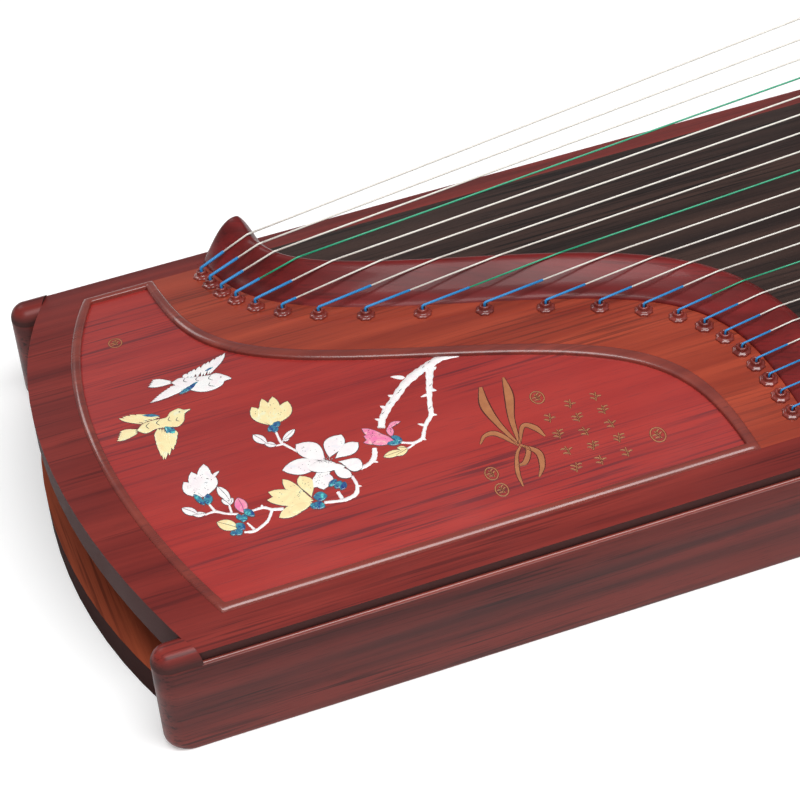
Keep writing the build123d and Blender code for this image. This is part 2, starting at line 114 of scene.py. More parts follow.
s_reach, s_softness = 142.5, 54.0


def s_curve(middle, centre, y):
    """Distance from the ears' noses of the S-shaped edge at y."""
    return middle - s_reach * math.tanh((y - centre) / s_softness)


def on_top(x, y, height):
    """Point at a height above the arched top, square to its surface."""
    lean = math.asin(y / arch_radius)
    return (x, y + height * math.sin(lean), arch_z(y) + height * math.cos(lean))


def smooth_share(share):
    """A share from 0 to 1 that starts and ends gently."""
    share = min(1.0, max(0.0, share))
    return share * share * (3 - 2 * share)


string_numbers = range(1, string_count + 1)


def string_y(number):
    """Y of a string; number 1 is nearest the player."""
    return (number - (string_count + 1) / 2) * string_pitch + string_lean


def string_radius(number):
    """Radius of a string, thicker towards the bass."""
    share = (number - 1) / (string_count - 1)
    return (string_thin + (string_thick - string_thin) * share) / 2


print("arch at the middle", arch_z(0), "and at the rail", round(arch_z(rail_inner), 2))

# %% [markdown]
# ## Camera
# The camera looks down on the tail from the player's side through a long lens, so the parallel
# strings hardly close up.  Its direction is given as an azimuth, an elevation and a small roll
# about the line of sight.

# %% Place the camera
camera_target = (-598.6, -18.8, 70.0)
camera_distance = 1578.0
camera_azimuth, camera_elevation, camera_roll = map(math.radians, (-16.438, 40.86, -5.336))
lens_length = 117.45


def aim(target, distance, azimuth, elevation, roll):
    """World matrix of a camera that looks at target."""
    back = Vector((math.sin(azimuth) * math.cos(elevation), -math.cos(azimuth) * math.cos(elevation),
        math.sin(elevation)))
    level = Vector((math.cos(azimuth), math.sin(azimuth), 0))
    rise = back.cross(level)
    right = level * math.cos(roll) + rise * math.sin(roll)
    up = rise * math.cos(roll) - level * math.sin(roll)
    turn = Matrix((right, up, back)).transposed().to_4x4()
    return Matrix.Translation((Vector(target) + back * distance) * MM) @ turn


scene = bpy.context.scene
camera = bpy.data.objects.new("camera", bpy.data.cameras.new("camera"))
camera.data.lens = lens_length
camera.data.sensor_width = 36.0
camera.matrix_world = aim(camera_target, camera_distance, camera_azimuth, camera_elevation, camera_roll)
scene.collection.objects.link(camera)
scene.camera = camera
print("camera at", [round(v, 3) for v in camera.location])

# %% [markdown]
# ## Helpers for meshes
# A piece such as the inlay is made of many small shapes.  `Bench` collects their points and faces,
# each face with the number of its finish, and makes one object of them at the end.  This keeps the
# scene's list of pieces short, while every shape in it stays real geometry.

# %% The bench that pieces are made on
class Bench:
    """Points and faces of one piece, in millimetres."""

    def __init__(self):
        self.points = []
        self.faces = []
        self.finishes = []

    def add(self, points, faces, finish=0):
        """Lay one shape on the bench."""
        start = len(self.points)
        self.points.extend(points)
        for face in faces:
            self.faces.append([start + corner for corner in face])
            self.finishes.append(finish)

    def make(self, name, materials, slot, body="body", stands_for=()):
        """Turn the bench into an object that rides on a body."""
        mesh = bpy.data.meshes.new(name)
        mesh.from_pydata([Vector(p) * MM for p in self.points], [], self.faces)
        for material in materials:
            mesh.materials.append(material)
        mesh.polygons.foreach_set("material_index", self.finishes)
        mesh.polygons.foreach_set("use_smooth", [True] * len(self.faces))
        mesh.update()
        piece = bpy.data.objects.new(name, mesh)
        scene.collection.objects.link(piece)
        if body:
            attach(piece, body)
        if stands_for:
            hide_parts(*stands_for)
        return piece


def sharpen(piece, degrees):
    """Keep edges sharper than this angle crisp and shade the rest smooth."""
    piece.data.set_sharp_from_angle(angle=math.radians(degrees))


def rings_to_faces(rings, count, closed=True):
    """Faces between rings of count points each."""
    faces = []
    last = count if closed else count - 1
    for ring in range(rings - 1):
        for i in range(last):
            a, b = ring * count + i, ring * count + (i + 1) % count
            faces.append((a, b, b + count, a + count))
    return faces


def through(points, steps):
    """Smooth line through points, with this many steps between neighbours."""
    points = [np.array(p, float) for p in points]
    ends = [2 * points[0] - points[1], *points, 2 * points[-1] - points[-2]]
    line = []
    for a, b, c, d in zip(ends, ends[1:], ends[2:], ends[3:]):
        for i in range(steps):
            t = i / steps
            pull = (c - a) * t
            bend = (2 * a - 5 * b + 4 * c - d) * t**2
            twist = (3 * b - a - 3 * c + d) * t**3
            line.append(0.5 * (2 * b + pull + bend + twist))
    return line + [points[-1]]


def tube(bench, line, radius, finish=0, sides=10, caps=True):
    """Round tube along a line; radius is one number or one for each point."""
    line = [Vector(p) for p in line]
    radii = [radius] * len(line) if isinstance(radius, (int, float)) else radius
    normal = Vector((0.12, 1.0, 0.07))
    points = []
    for i, place in enumerate(line):
        way = (line[min(i + 1, len(line) - 1)] - line[max(i - 1, 0)]).normalized()
        normal = (normal - way * normal.dot(way)).normalized()
        across = way.cross(normal)
        for k in range(sides):
            angle = 2 * math.pi * k / sides
            points.append(place + (normal * math.cos(angle) + across * math.sin(angle)) * radii[i])
    faces = rings_to_faces(len(line), sides)
    if caps:
        faces.append(tuple(reversed(range(sides))))
        faces.append(tuple(range(len(points) - sides, len(points))))
    bench.add(points, faces, finish)


print("bench ready")

# %% [markdown]
# ## Helpers for finishes
# A material is a small graph of nodes.  `add` puts one node in a tree and fills its sockets: a
# socket given another node's output is linked, and a socket given a number or a colour is set.
# Colours are written as a painter would pick them on a screen and turned to linear light here.

# %% Small tools for node trees
def add(tree, kind, sockets=None, **settings):
    """Add a node, with its settings and its sockets filled."""
    made = tree.nodes.new(kind)
    for key, value in settings.items():
        setattr(made, key, value)
    for title, value in (sockets or {}).items():
        if isinstance(value, bpy.types.NodeSocket):
            tree.links.new(value, made.inputs[title])
        else:
            made.inputs[title].default_value = value
    return made


def colour(red, green, blue):
    """Linear colour from screen values of 0 to 255."""
    linear = []
    for value in (red, green, blue):
        share = value / 255
        linear.append(share / 12.92 if share <= 0.04045 else ((share + 0.055) / 1.055) ** 2.4)
    return (*linear, 1.0)


def new_group(name, inputs, outputs):
    """Start a shader node group with these sockets."""
    group = bpy.data.node_groups.new(name, "ShaderNodeTree")
    for title, kind, value in inputs:
        socket = group.interface.new_socket(name=title, in_out="INPUT", socket_type=kind)
        socket.default_value = value
    for title, kind in outputs:
        group.interface.new_socket(name=title, in_out="OUTPUT", socket_type=kind)
    return group, group.nodes.new("NodeGroupInput").outputs, group.nodes.new("NodeGroupOutput").inputs


def mix(tree, factor, first, second):
    """Mix two colours."""
    return add(tree, "ShaderNodeMix", {0: factor, 6: first, 7: second}, data_type="RGBA").outputs[2]


def maths(tree, operation, first, second=0.0):
    """One sum."""
    return add(tree, "ShaderNodeMath", {0: first, 1: second}, operation=operation).outputs[0]


def spread(tree, value, low, high, to_low=0.0, to_high=1.0):
    """Stretch the part of a value between low and high over another range."""
    sockets = {0: value, 1: low, 2: high, 3: to_low, 4: to_high}
    return add(tree, "ShaderNodeMapRange", sockets).outputs[0]


FLOAT, VECTOR, COLOUR = "NodeSocketFloat", "NodeSocketVector", "NodeSocketColor"
print("node tools ready")

# %% [markdown]
# ## Wood figure
# Rosewood shows three things at once: broad bands of tone, long dark streaks and very fine pores,
# all drawn out along the grain.  One noise texture squeezed along the board gives each of them.
# The group takes the direction of the grain as a turn about Z, so that a rail which runs across the
# body can use the same figure as one that runs along it.

# %% Build the wood figure group
wood_figure, given, result = new_group(
    "wood figure",
    [
        ("Light", COLOUR, colour(150, 60, 50)),
        ("Dark", COLOUR, colour(90, 30, 28)),
        ("Streak", COLOUR, colour(60, 20, 20)),
        ("Turn", VECTOR, (0, 0, 0)),
        ("Bands", FLOAT, 1.0),
        ("Streaks", FLOAT, 0.6),
        ("Pores", FLOAT, 0.5),
        ("Fineness", FLOAT, 1.0),
    ],
    [("Colour", COLOUR), ("Height", FLOAT), ("Gloss", FLOAT)],
)
spot = add(wood_figure, "ShaderNodeTexCoord").outputs["Object"]
board = add(wood_figure, "ShaderNodeMapping", {"Vector": spot, "Rotation": given["Turn"]}).outputs[0]


def drawn_out(length_scale, width_scale, detail, twist=0.0):
    """Noise drawn out along the grain; the scales are repeats in a metre."""
    lengthwise = add(wood_figure, "ShaderNodeMapping", {"Vector": board,
        "Scale": (length_scale, width_scale, width_scale)})
    fine = maths(wood_figure, "MULTIPLY", given["Fineness"], 1.0)
    sockets = {"Vector": lengthwise.outputs[0], "Scale": fine, "Detail": detail, "Distortion": twist}
    return add(wood_figure, "ShaderNodeTexNoise", sockets).outputs["Fac"]


bands = spread(wood_figure, drawn_out(2.6, 64.0, 4.0, 0.4), 0.34, 0.66)
bands = maths(wood_figure, "MULTIPLY", bands, given["Bands"])
streaks = spread(wood_figure, drawn_out(11.0, 520.0, 4.0, 0.15), 0.52, 0.64)
patchy = spread(wood_figure, drawn_out(4.0, 30.0, 1.0), 0.36, 0.56)
streaks = maths(wood_figure, "MULTIPLY", maths(wood_figure, "MULTIPLY", streaks, patchy), given["Streaks"])
pores = spread(wood_figure, drawn_out(60.0, 1500.0, 2.0), 0.56, 0.7)
pores = maths(wood_figure, "MULTIPLY", pores, given["Pores"])
tone = mix(wood_figure, bands, given["Light"], given["Dark"])
tone = mix(wood_figure, streaks, tone, given["Streak"])
tone = mix(wood_figure, maths(wood_figure, "MULTIPLY", pores, 0.55), tone, given["Streak"])
wood_figure.links.new(tone, result["Colour"])
wood_figure.links.new(maths(wood_figure, "SUBTRACT", 1.0, pores), result["Height"])
wood_figure.links.new(maths(wood_figure, "ADD", pores, maths(wood_figure, "MULTIPLY", streaks, 0.4)),
    result["Gloss"])
print("wood figure:", len(wood_figure.nodes), "nodes")

# %% [markdown]
# ## Hand polish
# A lacquered instrument is never evenly glossy.  Rubbing out leaves faint swirls, and hands leave
# soft smudges.  This group turns two noises into a roughness near a base value, and into a very
# shallow unevenness of the film.

# %% Build the polish group
hand_polish, given, result = new_group(
    "hand polish",
    [("Roughness", FLOAT, 0.3), ("Smudge", FLOAT, 0.08), ("Scale", FLOAT, 14.0)],
    [("Roughness", FLOAT), ("Height", FLOAT)],
)
spot = add(hand_polish, "ShaderNodeTexCoord").outputs["Object"]
smudges = add(hand_polish, "ShaderNodeTexNoise", {"Vector": spot, "Scale": given["Scale"],
    "Detail": 4.0}).outputs["Fac"]
film = add(hand_polish, "ShaderNodeTexNoise", {"Vector": spot, "Scale": 190.0,
    "Detail": 2.0}).outputs["Fac"]
offset = maths(hand_polish, "MULTIPLY", spread(hand_polish, smudges, 0.3, 0.7, -1.0, 1.0), given["Smudge"])
hand_polish.links.new(maths(hand_polish, "ADD", given["Roughness"], offset), result["Roughness"])
hand_polish.links.new(film, result["Height"])
print("hand polish:", len(hand_polish.nodes), "nodes")


# %% [markdown]
# ## Lacquered and bare woods
# One function makes every wood from the two groups.  The shader stays in the material, where its
# clear coat is set to plain numbers; only colour, roughness and the normal come from the groups.

# %% A function for every wood
def make_wood(name, light, dark, streak, turn=0.0, bands=1.0, streaks=0.6, pores=0.5, fineness=1.0,
              roughness=0.34, coat=0.6, coat_roughness=0.09, depth=0.00006, shine=0.5, painted_upright_shade=None):
    """Wood with its figure, its polish and its coat of lacquer; the optional dark tone for vertical faces
    is painted shade.
    """
    material = bpy.data.materials.new(name)
    material.use_nodes = True
    tree = material.node_tree
    shader = tree.nodes["Principled BSDF"]
    figure = add(tree, "ShaderNodeGroup", node_tree=wood_figure)
    for title, value in (("Light", light), ("Dark", dark), ("Streak", streak)):
        figure.inputs[title].default_value = colour(*value)
    figure.inputs["Turn"].default_value = (0, 0, math.radians(turn))
    for title, value in (("Bands", bands), ("Streaks", streaks), ("Pores", pores), ("Fineness", fineness)):
        figure.inputs[title].default_value = value
    polish = add(tree, "ShaderNodeGroup", {}, node_tree=hand_polish)
    polish.inputs["Roughness"].default_value = roughness
    dull = maths(tree, "MULTIPLY", figure.outputs["Gloss"], 0.12)
    tone, rough = figure.outputs["Colour"], maths(tree, "ADD", polish.outputs["Roughness"], dull)
    # Vertical faces take a darker colour from the way they face: painted shade for sides that the light
    # from above reaches less.  They are also made rougher.
    if painted_upright_shade:
        facing = add(tree, "ShaderNodeTexCoord").outputs["Normal"]
        lift = add(tree, "ShaderNodeSeparateXYZ", {0: facing}).outputs["Z"]
        level = spread(tree, lift, 0.25, 0.75)
        painted_shade_tone = mix(tree, figure.outputs["Height"], colour(*streak), colour(*painted_upright_shade))
        tone = mix(tree, level, painted_shade_tone, tone)
        rough = maths(tree, "ADD", rough, spread(tree, level, 0.0, 1.0, 0.5, 0.0))
    tree.links.new(tone, shader.inputs["Base Color"])
    tree.links.new(rough, shader.inputs["Roughness"])
    relief = maths(tree, "ADD", figure.outputs["Height"], maths(tree, "MULTIPLY",
        polish.outputs["Height"], 0.25))
    bump = add(tree, "ShaderNodeBump", {"Height": relief, "Strength": 0.5, "Distance": depth})
    tree.links.new(bump.outputs["Normal"], shader.inputs["Normal"])
    shader.inputs["Specular IOR Level"].default_value = shine
    shader.inputs["Coat Weight"].default_value = coat
    shader.inputs["Coat Roughness"].default_value = coat_roughness
    return material


side_wood = make_wood(
    "side_rosewood", (112, 42, 36), (70, 28, 26), (40, 20, 20), streaks=0.8, pores=0.6, roughness=0.38,
    coat=0.08, shine=0.2
)
# The vertical faces of the frames and the ears are painted darker in this wood, as shade.
rail_wood = make_wood(
    "rail_rosewood", (134, 48, 42), (100, 34, 32), (62, 22, 24), streaks=0.6, pores=0.35, coat=0.03,
    shine=0.22,
    painted_upright_shade=(66, 36, 34)
)
panel_wood = make_wood(
    "red_panel_wood", (170, 50, 44), (144, 36, 36), (84, 26, 36), bands=0.8, streaks=0.7, pores=0.5,
    roughness=0.38, coat=0.35
)
bead_wood = make_wood("bead_wood", (140, 58, 46), (110, 42, 36), (72, 28, 28), streaks=0.4, pores=0.25,
    roughness=0.3, coat=0.6)
string_board_wood = make_wood(
    "string_board_wood", (168, 66, 42), (132, 44, 28), (84, 30, 22), streaks=0.6, pores=0.4,
    roughness=0.38, coat=0.3, shine=0.4
)
nut_wood = make_wood(
    "nut_wood", (124, 32, 32), (92, 24, 24), (58, 16, 18), turn=30, streaks=0.4, pores=0.2, roughness=0.4,
    coat=0.12, shine=0.25
)
# The vertical faces of the end boards are painted darker in this wood, as shade.
sill_wood = make_wood(
    "sill_wood", (176, 86, 58), (134, 62, 44), (72, 32, 26), turn=90, streaks=0.5, pores=0.4,
    roughness=0.42, coat=0.0, shine=0.05,
    painted_upright_shade=(52, 30, 28)
)
scorched_wood = make_wood(
    "scorched_top", (70, 50, 44), (44, 32, 30), (24, 18, 18), streaks=0.9, pores=0.9, roughness=0.52,
    coat=0.05, fineness=0.9,
    depth=0.00012, shine=0.25
)
plain_wood = make_wood(
    "plain_paulownia", (206, 174, 132), (176, 140, 100), (140, 104, 70), streaks=0.5, pores=0.4,
    roughness=0.6, coat=0.0
)
turned_wood = make_wood(
    "turned_rosewood", (140, 52, 42), (104, 34, 30), (64, 22, 22), streaks=0.3, pores=0.15,
    roughness=0.28, coat=0.7
)
bridge_wood = make_wood(
    "bridge_rosewood", (120, 60, 44), (84, 38, 30), (48, 24, 20), turn=90, streaks=0.6, pores=0.5,
    roughness=0.4, coat=0.3
)
print("woods:", len(bpy.data.materials))

# %% [markdown]
# ## Mother of pearl and abalone
# Shell is white with soft clouds of pink and blue that shift over a few millimetres.  Abalone is
# the same idea with strong teal, blue and violet.  Both are one group: a slow noise picks the cloud
# and a finer one adds the growth lines.

# %% Build the shell group
shell_clouds, given, result = new_group(
    "shell clouds",
    [("Base", COLOUR, colour(240, 236, 230)), ("Cloud A", COLOUR, colour(235, 200, 210)),
    ("Cloud B", COLOUR, colour(190, 215, 235)),
     ("Size", FLOAT, 90.0), ("Amount", FLOAT, 0.5)],
    [("Colour", COLOUR), ("Height", FLOAT)],
)
spot = add(shell_clouds, "ShaderNodeTexCoord").outputs["Object"]
slow = add(shell_clouds, "ShaderNodeTexNoise", {"Vector": spot, "Scale": given["Size"], "Detail": 3.0,
    "Distortion": 1.2})
other = add(shell_clouds, "ShaderNodeTexNoise", {"Vector": slow.outputs["Color"], "Scale": 3.0,
    "Detail": 2.0})
first = maths(shell_clouds, "MULTIPLY", spread(shell_clouds, slow.outputs["Fac"], 0.42, 0.62),
    given["Amount"])
second = maths(shell_clouds, "MULTIPLY", spread(shell_clouds, other.outputs["Fac"], 0.45, 0.6),
    given["Amount"])
tone = mix(shell_clouds, second, mix(shell_clouds, first, given["Base"], given["Cloud A"]),
    given["Cloud B"])
shell_clouds.links.new(tone, result["Colour"])
shell_clouds.links.new(slow.outputs["Fac"], result["Height"])


def make_shell(name, base, cloud_a, cloud_b, size=90.0, amount=0.5, roughness=0.3):
    """A shell finish."""
    material = bpy.data.materials.new(name)
    material.use_nodes = True
    tree = material.node_tree
    shader = tree.nodes["Principled BSDF"]
    clouds = add(tree, "ShaderNodeGroup", node_tree=shell_clouds)
    for title, value in (("Base", base), ("Cloud A", cloud_a), ("Cloud B", cloud_b)):
        clouds.inputs[title].default_value = colour(*value)
    clouds.inputs["Size"].default_value = size
    clouds.inputs["Amount"].default_value = amount
    tree.links.new(clouds.outputs["Colour"], shader.inputs["Base Color"])
    bump = add(tree, "ShaderNodeBump", {"Height": clouds.outputs["Height"], "Strength": 0.2,
        "Distance": 0.0002})
    tree.links.new(bump.outputs["Normal"], shader.inputs["Normal"])
    shader.inputs["Roughness"].default_value = roughness
    shader.inputs["Coat Weight"].default_value = 0.5
    return material


white_shell = make_shell("white_shell", (246, 244, 242), (240, 214, 224), (214, 228, 240), 120.0, 0.35)
cream_shell = make_shell("cream_shell", (244, 232, 178), (246, 214, 160), (232, 238, 214), 130.0, 0.55)
pink_shell = make_shell("pink_shell", (240, 150, 176), (236, 110, 170), (250, 214, 200), 150.0, 0.7)
abalone = make_shell("abalone", (64, 140, 160), (40, 60, 130), (96, 214, 206), 240.0, 1.0, 0.18)
print("shells ready")


# %% [markdown]
# ## Small plain finishes
# Steel, nylon and the coloured winding each need one small touch that shows at close range: a soft
# unevenness on the steel, faint clouding in the nylon, and the fine turns of the winding, which are
# bands across the string.

# %% Steel, nylon and winding
def make_plain(name, base, second, scale, roughness, metallic=0.0, coat=0.0, bands=False, depth=0.00003):
    """A finish whose colour drifts between two tones, with noise or with narrow bands along X."""
    material = bpy.data.materials.new(name)
    material.use_nodes = True
    tree = material.node_tree
    shader = tree.nodes["Principled BSDF"]
    spot = add(tree, "ShaderNodeTexCoord").outputs["Object"]
    if bands:
        pattern = add(tree, "ShaderNodeTexWave", {"Vector": spot, "Scale": scale,
            "Distortion": 0.0}).outputs["Fac"]
    else:
        pattern = add(tree, "ShaderNodeTexNoise", {"Vector": spot, "Scale": scale,
            "Detail": 3.0}).outputs["Fac"]
    tree.links.new(mix(tree, pattern, colour(*base), colour(*second)), shader.inputs["Base Color"])
    bump = add(tree, "ShaderNodeBump", {"Height": pattern, "Strength": 0.4, "Distance": depth})
    tree.links.new(bump.outputs["Normal"], shader.inputs["Normal"])
    rough = spread(tree, pattern, 0.0, 1.0, roughness * 0.85, roughness * 1.15)
    tree.links.new(rough, shader.inputs["Roughness"])
    shader.inputs["Metallic"].default_value = metallic
    shader.inputs["Coat Weight"].default_value = coat
    return material


steel = make_plain("pin_steel", (196, 194, 190), (160, 158, 154), 220.0, 0.26, metallic=1.0)
white_nylon = make_plain("white_nylon", (242, 238, 230), (226, 220, 210), 300.0, 0.32, coat=0.4)
green_nylon = make_plain("green_nylon", (44, 176, 132), (30, 150, 112), 300.0, 0.32, coat=0.4)
blue_winding = make_plain("blue_winding", (54, 154, 214), (32, 116, 184), 330.0, 0.42, bands=True,
    depth=0.00015)
ink = make_plain("engraved_ink", (96, 92, 96), (70, 66, 72), 200.0, 0.6)
carved_gold = make_plain("carved_gold", (188, 122, 78), (148, 86, 52), 180.0, 0.55, depth=0.0002)
carved_edge = make_plain("carved_edge", (92, 30, 22), (70, 22, 18), 180.0, 0.4)
print("small finishes ready")

# %% [markdown]
# ## Finish the CAD parts that stay
# The inner boards, the frames, the lid, the bridges and the pins already have their true shape, so
# they keep their meshes and only take a finish.

# %% Give each node its wood
finishes = {
    "end_boards": sill_wood,
    "bottom_board": plain_wood,
    "arch_ribs": plain_wood,
    "soundboard": scorched_wood,
    "tail_frame": rail_wood,
    "string_board": string_board_wood,
    "head_frame": rail_wood,
    "head_nut": nut_wood,
    "pin_block": plain_wood,
    "box_lid": panel_wood,
    "lid_pins": steel,
}
for number in string_numbers:
    finishes[f"tuning_pin_{number:02d}"] = steel
    finishes[f"bridge_{number:02d}"] = bridge_wood
for name, material in finishes.items():
    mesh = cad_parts[name].data
    mesh.materials.clear()
    mesh.materials.append(material)
print("finished nodes:", len(finishes))

# %% [markdown]
# ## Side boards
# Each side board is a long plank with round noses.  At both ends it rises into an ear like the end
# of a loaf, which stops where the curved end of the body begins.  A thin bead runs along its top
# edge from ear to ear.

# %% Shape the side boards
nose_round, lower_round, bottom_round = 10.4, 8.0, 1.2
bead_radius = 1.45
arc_steps = 12


def capsule(height, side_inset, nose_inset):
    """Ring of a plank's outline at one height, drawn in at its sides and its noses."""
    half = side_thickness / 2 - side_inset
    centre = -ear_nose_x - nose_inset - nose_round
    ring = []
    for way in (1, -1):
        for i in range(arc_steps + 1):
            angle = math.pi * (i / arc_steps - 0.5)
            reach = nose_round - side_inset * 0.5
            ring.append((way * (centre + reach * math.cos(angle)), way * half * math.sin(angle), height))
    return ring


def drawn_in(height, radius):
    """How far a rounded lower edge lies inside its board at a height."""
    return radius - math.sqrt(max(0.0, radius**2 - (radius - min(height, radius)) ** 2))


def ear_start(across):
    """X of the nose's outline at a place across the board."""
    share = min(1.0, abs(across) / (side_thickness / 2))
    return ear_nose_x + nose_round - nose_round * math.sqrt(1 - share * share)


def ear_stop(y):
    """X where the curved end of the body meets the ear."""
    return end_centre_x - math.sqrt(end_radius**2 - y * y)


def ear_height(x, across):
    """Height of the domed ear: full in the middle and rolled over towards its outline."""
    centre = ear_nose_x + nose_round
    if x < centre:
        inside = side_thickness / 2 - math.hypot((x - centre) * side_thickness / 2 / nose_round, across)
    else:
        inside = side_thickness / 2 - abs(across)
    share = min(1.0, max(0.0, inside) / 9.0)
    return side_height + ear_rise * math.sqrt(1 - (1 - share) ** 2)


def lay_ear(bench, side, head, finish):
    """One ear, as a grid from the nose to the curved end, with a wall behind it."""
    middle_y, rows, columns = side * (half_width - side_thickness / 2), 24, 22
    points = []
    for row in range(rows + 1):
        across = -side_thickness / 2 * math.cos(math.pi * row / rows)
        start, stop = ear_start(across), ear_stop(middle_y + across)
        for column in range(columns + 1):
            share = column / columns
            x = start + (stop - start) * (1 - math.cos(share * math.pi / 2))
            points.append((-x if head else x, middle_y + across, ear_height(x, across)))
        points.append((-stop if head else stop, middle_y + across, side_height - 0.5))
    faces = rings_to_faces(rows + 1, columns + 2, closed=False)
    bench.add(points, faces if head else [tuple(reversed(face)) for face in faces], finish)


def make_side_board(side):
    """A side board with its two ears and its bead."""
    bench = Bench()
    middle_y = side * (half_width - side_thickness / 2)
    heights = [0, 0.3, 0.7, 1.2, 2.2, 3.6, 5.4, 8.0, 20.0, 42.0, side_height - 0.5, side_height]
    points = []
    for height in heights:
        inset = drawn_in(height, bottom_round) if height < side_height else 0.35
        points += [(x, y + middle_y, z) for x, y, z in capsule(height, inset,
            drawn_in(height, lower_round))]
    count = 2 * (arc_steps + 1)
    faces = rings_to_faces(len(heights), count)
    faces += [tuple(reversed(range(count))), tuple(range(len(points) - count, len(points)))]
    bench.add(points, faces, 0)
    for head in (False, True):
        lay_ear(bench, side, head, 1)
    bead_y = side * (shell_half + bead_radius + 0.1)
    reach = -ear_stop(abs(bead_y))
    line = [(-reach + 2 * reach * k / 60, bead_y, side_height) for k in range(61)]
    tube(bench, line, bead_radius, 2, 16)
    name = "near" if side < 0 else "far"
    materials = [side_wood, rail_wood, bead_wood]
    board = bench.make(f"{name}_side", materials, "dark_rosewood", stands_for=[f"side_board_{name}"])
    sharpen(board, 48)
    return board


for side in (-1, 1):
    print(make_side_board(side).name, "made")

# %% [markdown]
# ## Tail panel and its bead
# The panel is a thin sheet bent to the arch, and a rounded bead runs round it in one line.  The
# bead's outline is drawn again at each step of its own section, a little further in every time, so
# its four corners come out mitred.

# %% Shape the panel and the bead
panel_arc, panel_s = end_radius - end_rail_width, (234.0, -6.0)


def panel_outline(inset):
    """Closed outline of the panel's opening, drawn in by inset."""
    reach, arc = rail_inner - inset, panel_arc - inset
    s_x = lambda y: along_tail(s_curve(panel_s[0] - inset, panel_s[1] - inset, y))
    arc_x = lambda y: end_centre_x - math.sqrt(arc**2 - y * y)
    outline = []
    for k in range(60):
        outline.append((arc_x(reach) + (s_x(-reach) - arc_x(reach)) * k / 60, -reach))
    for k in range(160):
        y = -reach + 2 * reach * k / 160
        outline.append((s_x(y), y))
    for k in range(24):
        outline.append((s_x(reach) + (arc_x(reach) - s_x(reach)) * k / 24, reach))
    for k in range(80):
        y = reach - 2 * reach * k / 80
        outline.append((arc_x(y), y))
    return outline


def sheet(bench, inset, drop, finish, upward=True):
    """Sheet bent to the arch between the curved end and the S-shaped edge."""
    reach, arc, rows, columns = rail_inner - inset, panel_arc - inset, 110, 56
    points = []
    for row in range(rows + 1):
        y = -reach + 2 * reach * row / rows
        start = end_centre_x - math.sqrt(arc**2 - y * y)
        stop = along_tail(s_curve(panel_s[0] - inset, panel_s[1] - inset, y))
        for column in range(columns + 1):
            points.append((start + (stop - start) * column / columns, y, arch_z(y, drop)))
    faces = rings_to_faces(rows + 1, columns + 1, closed=False)
    bench.add(points, [tuple(reversed(face)) for face in faces] if upward else faces, finish)


panel = Bench()
sheet(panel, bead_width - 0.2, panel_sink, 0)
sheet(panel, bead_width - 0.2, panel_sink + 6.0, 0, upward=False)
bead_section = [(0.0, -9.0)]
for k in range(15):
    angle = math.pi * k / 14
    half = bead_width / 2
    bead_section.append((half - half * math.cos(angle), -0.25 + (bead_rise + 0.25) * math.sin(angle)))
bead_section += [(bead_width, -2.4), (bead_width, -9.0)]
bead_points = []
for inset, height in bead_section:
    bead_points += [(x, y, arch_z(y) + height) for x, y in panel_outline(inset)]
panel.add(bead_points, rings_to_faces(len(bead_section), len(panel_outline(0))), 1)
panel_piece = panel.make("panel_and_bead", [panel_wood, bead_wood], "panel_wood", stands_for=["tail_panel"])
sharpen(panel_piece, 50)
print("panel and bead faces:", len(panel.faces))

# %% [markdown]
# ## Tail nut
# The nut is one long moulding that follows the S curve.  Its face rises towards the strings, rolls
# over a rounded crest and drops behind, and its far end turns up like a horn.  Many sections along
# the curve, each with a rounded profile, give the smooth run that a spokeshave would leave.

# %% Shape the tail nut
nut_middle, nut_centre = 268.6, 25.4
nut_face, nut_seat_sink = 24.5, 0.6
nut_crest_height, nut_crest_centre, nut_crest_radius = 105.5, 35.0, 740.0
nut_near_end, nut_far_end = -152.0, 158.0
nut_tip_rise, nut_tip_length = 8.0, 24.0
nut_end_round, nut_width, nut_swell_length = 2.5, 36.0, 46.0
nut_profile = ((0, -0.35), (0, 0.1), (8, 0.34), (15, 0.62), (20.5, 0.88), (24.5, 1.0), (28, 0.93),
    (33, 0.6), (36, 0.1), (36, -0.35))


def nut_base(y):
    """Point of the nut's tail edge at y and the level direction across the nut there."""
    slope = -s_reach / s_softness / math.cosh((y - nut_centre) / s_softness) ** 2
    size = math.hypot(1, slope)
    return along_tail(s_curve(nut_middle, nut_centre, y)), y, 1 / size, -slope / size


def nut_crest_z(y):
    """Height of the nut's crest at y, with the tip that turns up at the far end."""
    rise = smooth_share((y - nut_far_end + nut_tip_length) / nut_tip_length) * nut_tip_rise
    drop = math.sqrt(nut_crest_radius**2 - (y - nut_crest_centre) ** 2)
    return nut_crest_height - nut_crest_radius + drop + rise


def nut_crest_x(y):
    """X where the crest crosses y."""
    low, high = y - 40.0, y + 10.0
    for _ in range(40):
        middle = (low + high) / 2
        _, base_y, _, across_y = nut_base(middle)
        low, high = (middle, high) if base_y + across_y * nut_face < y else (low, middle)
    x, _, across_x, _ = nut_base((low + high) / 2)
    return x + across_x * nut_face


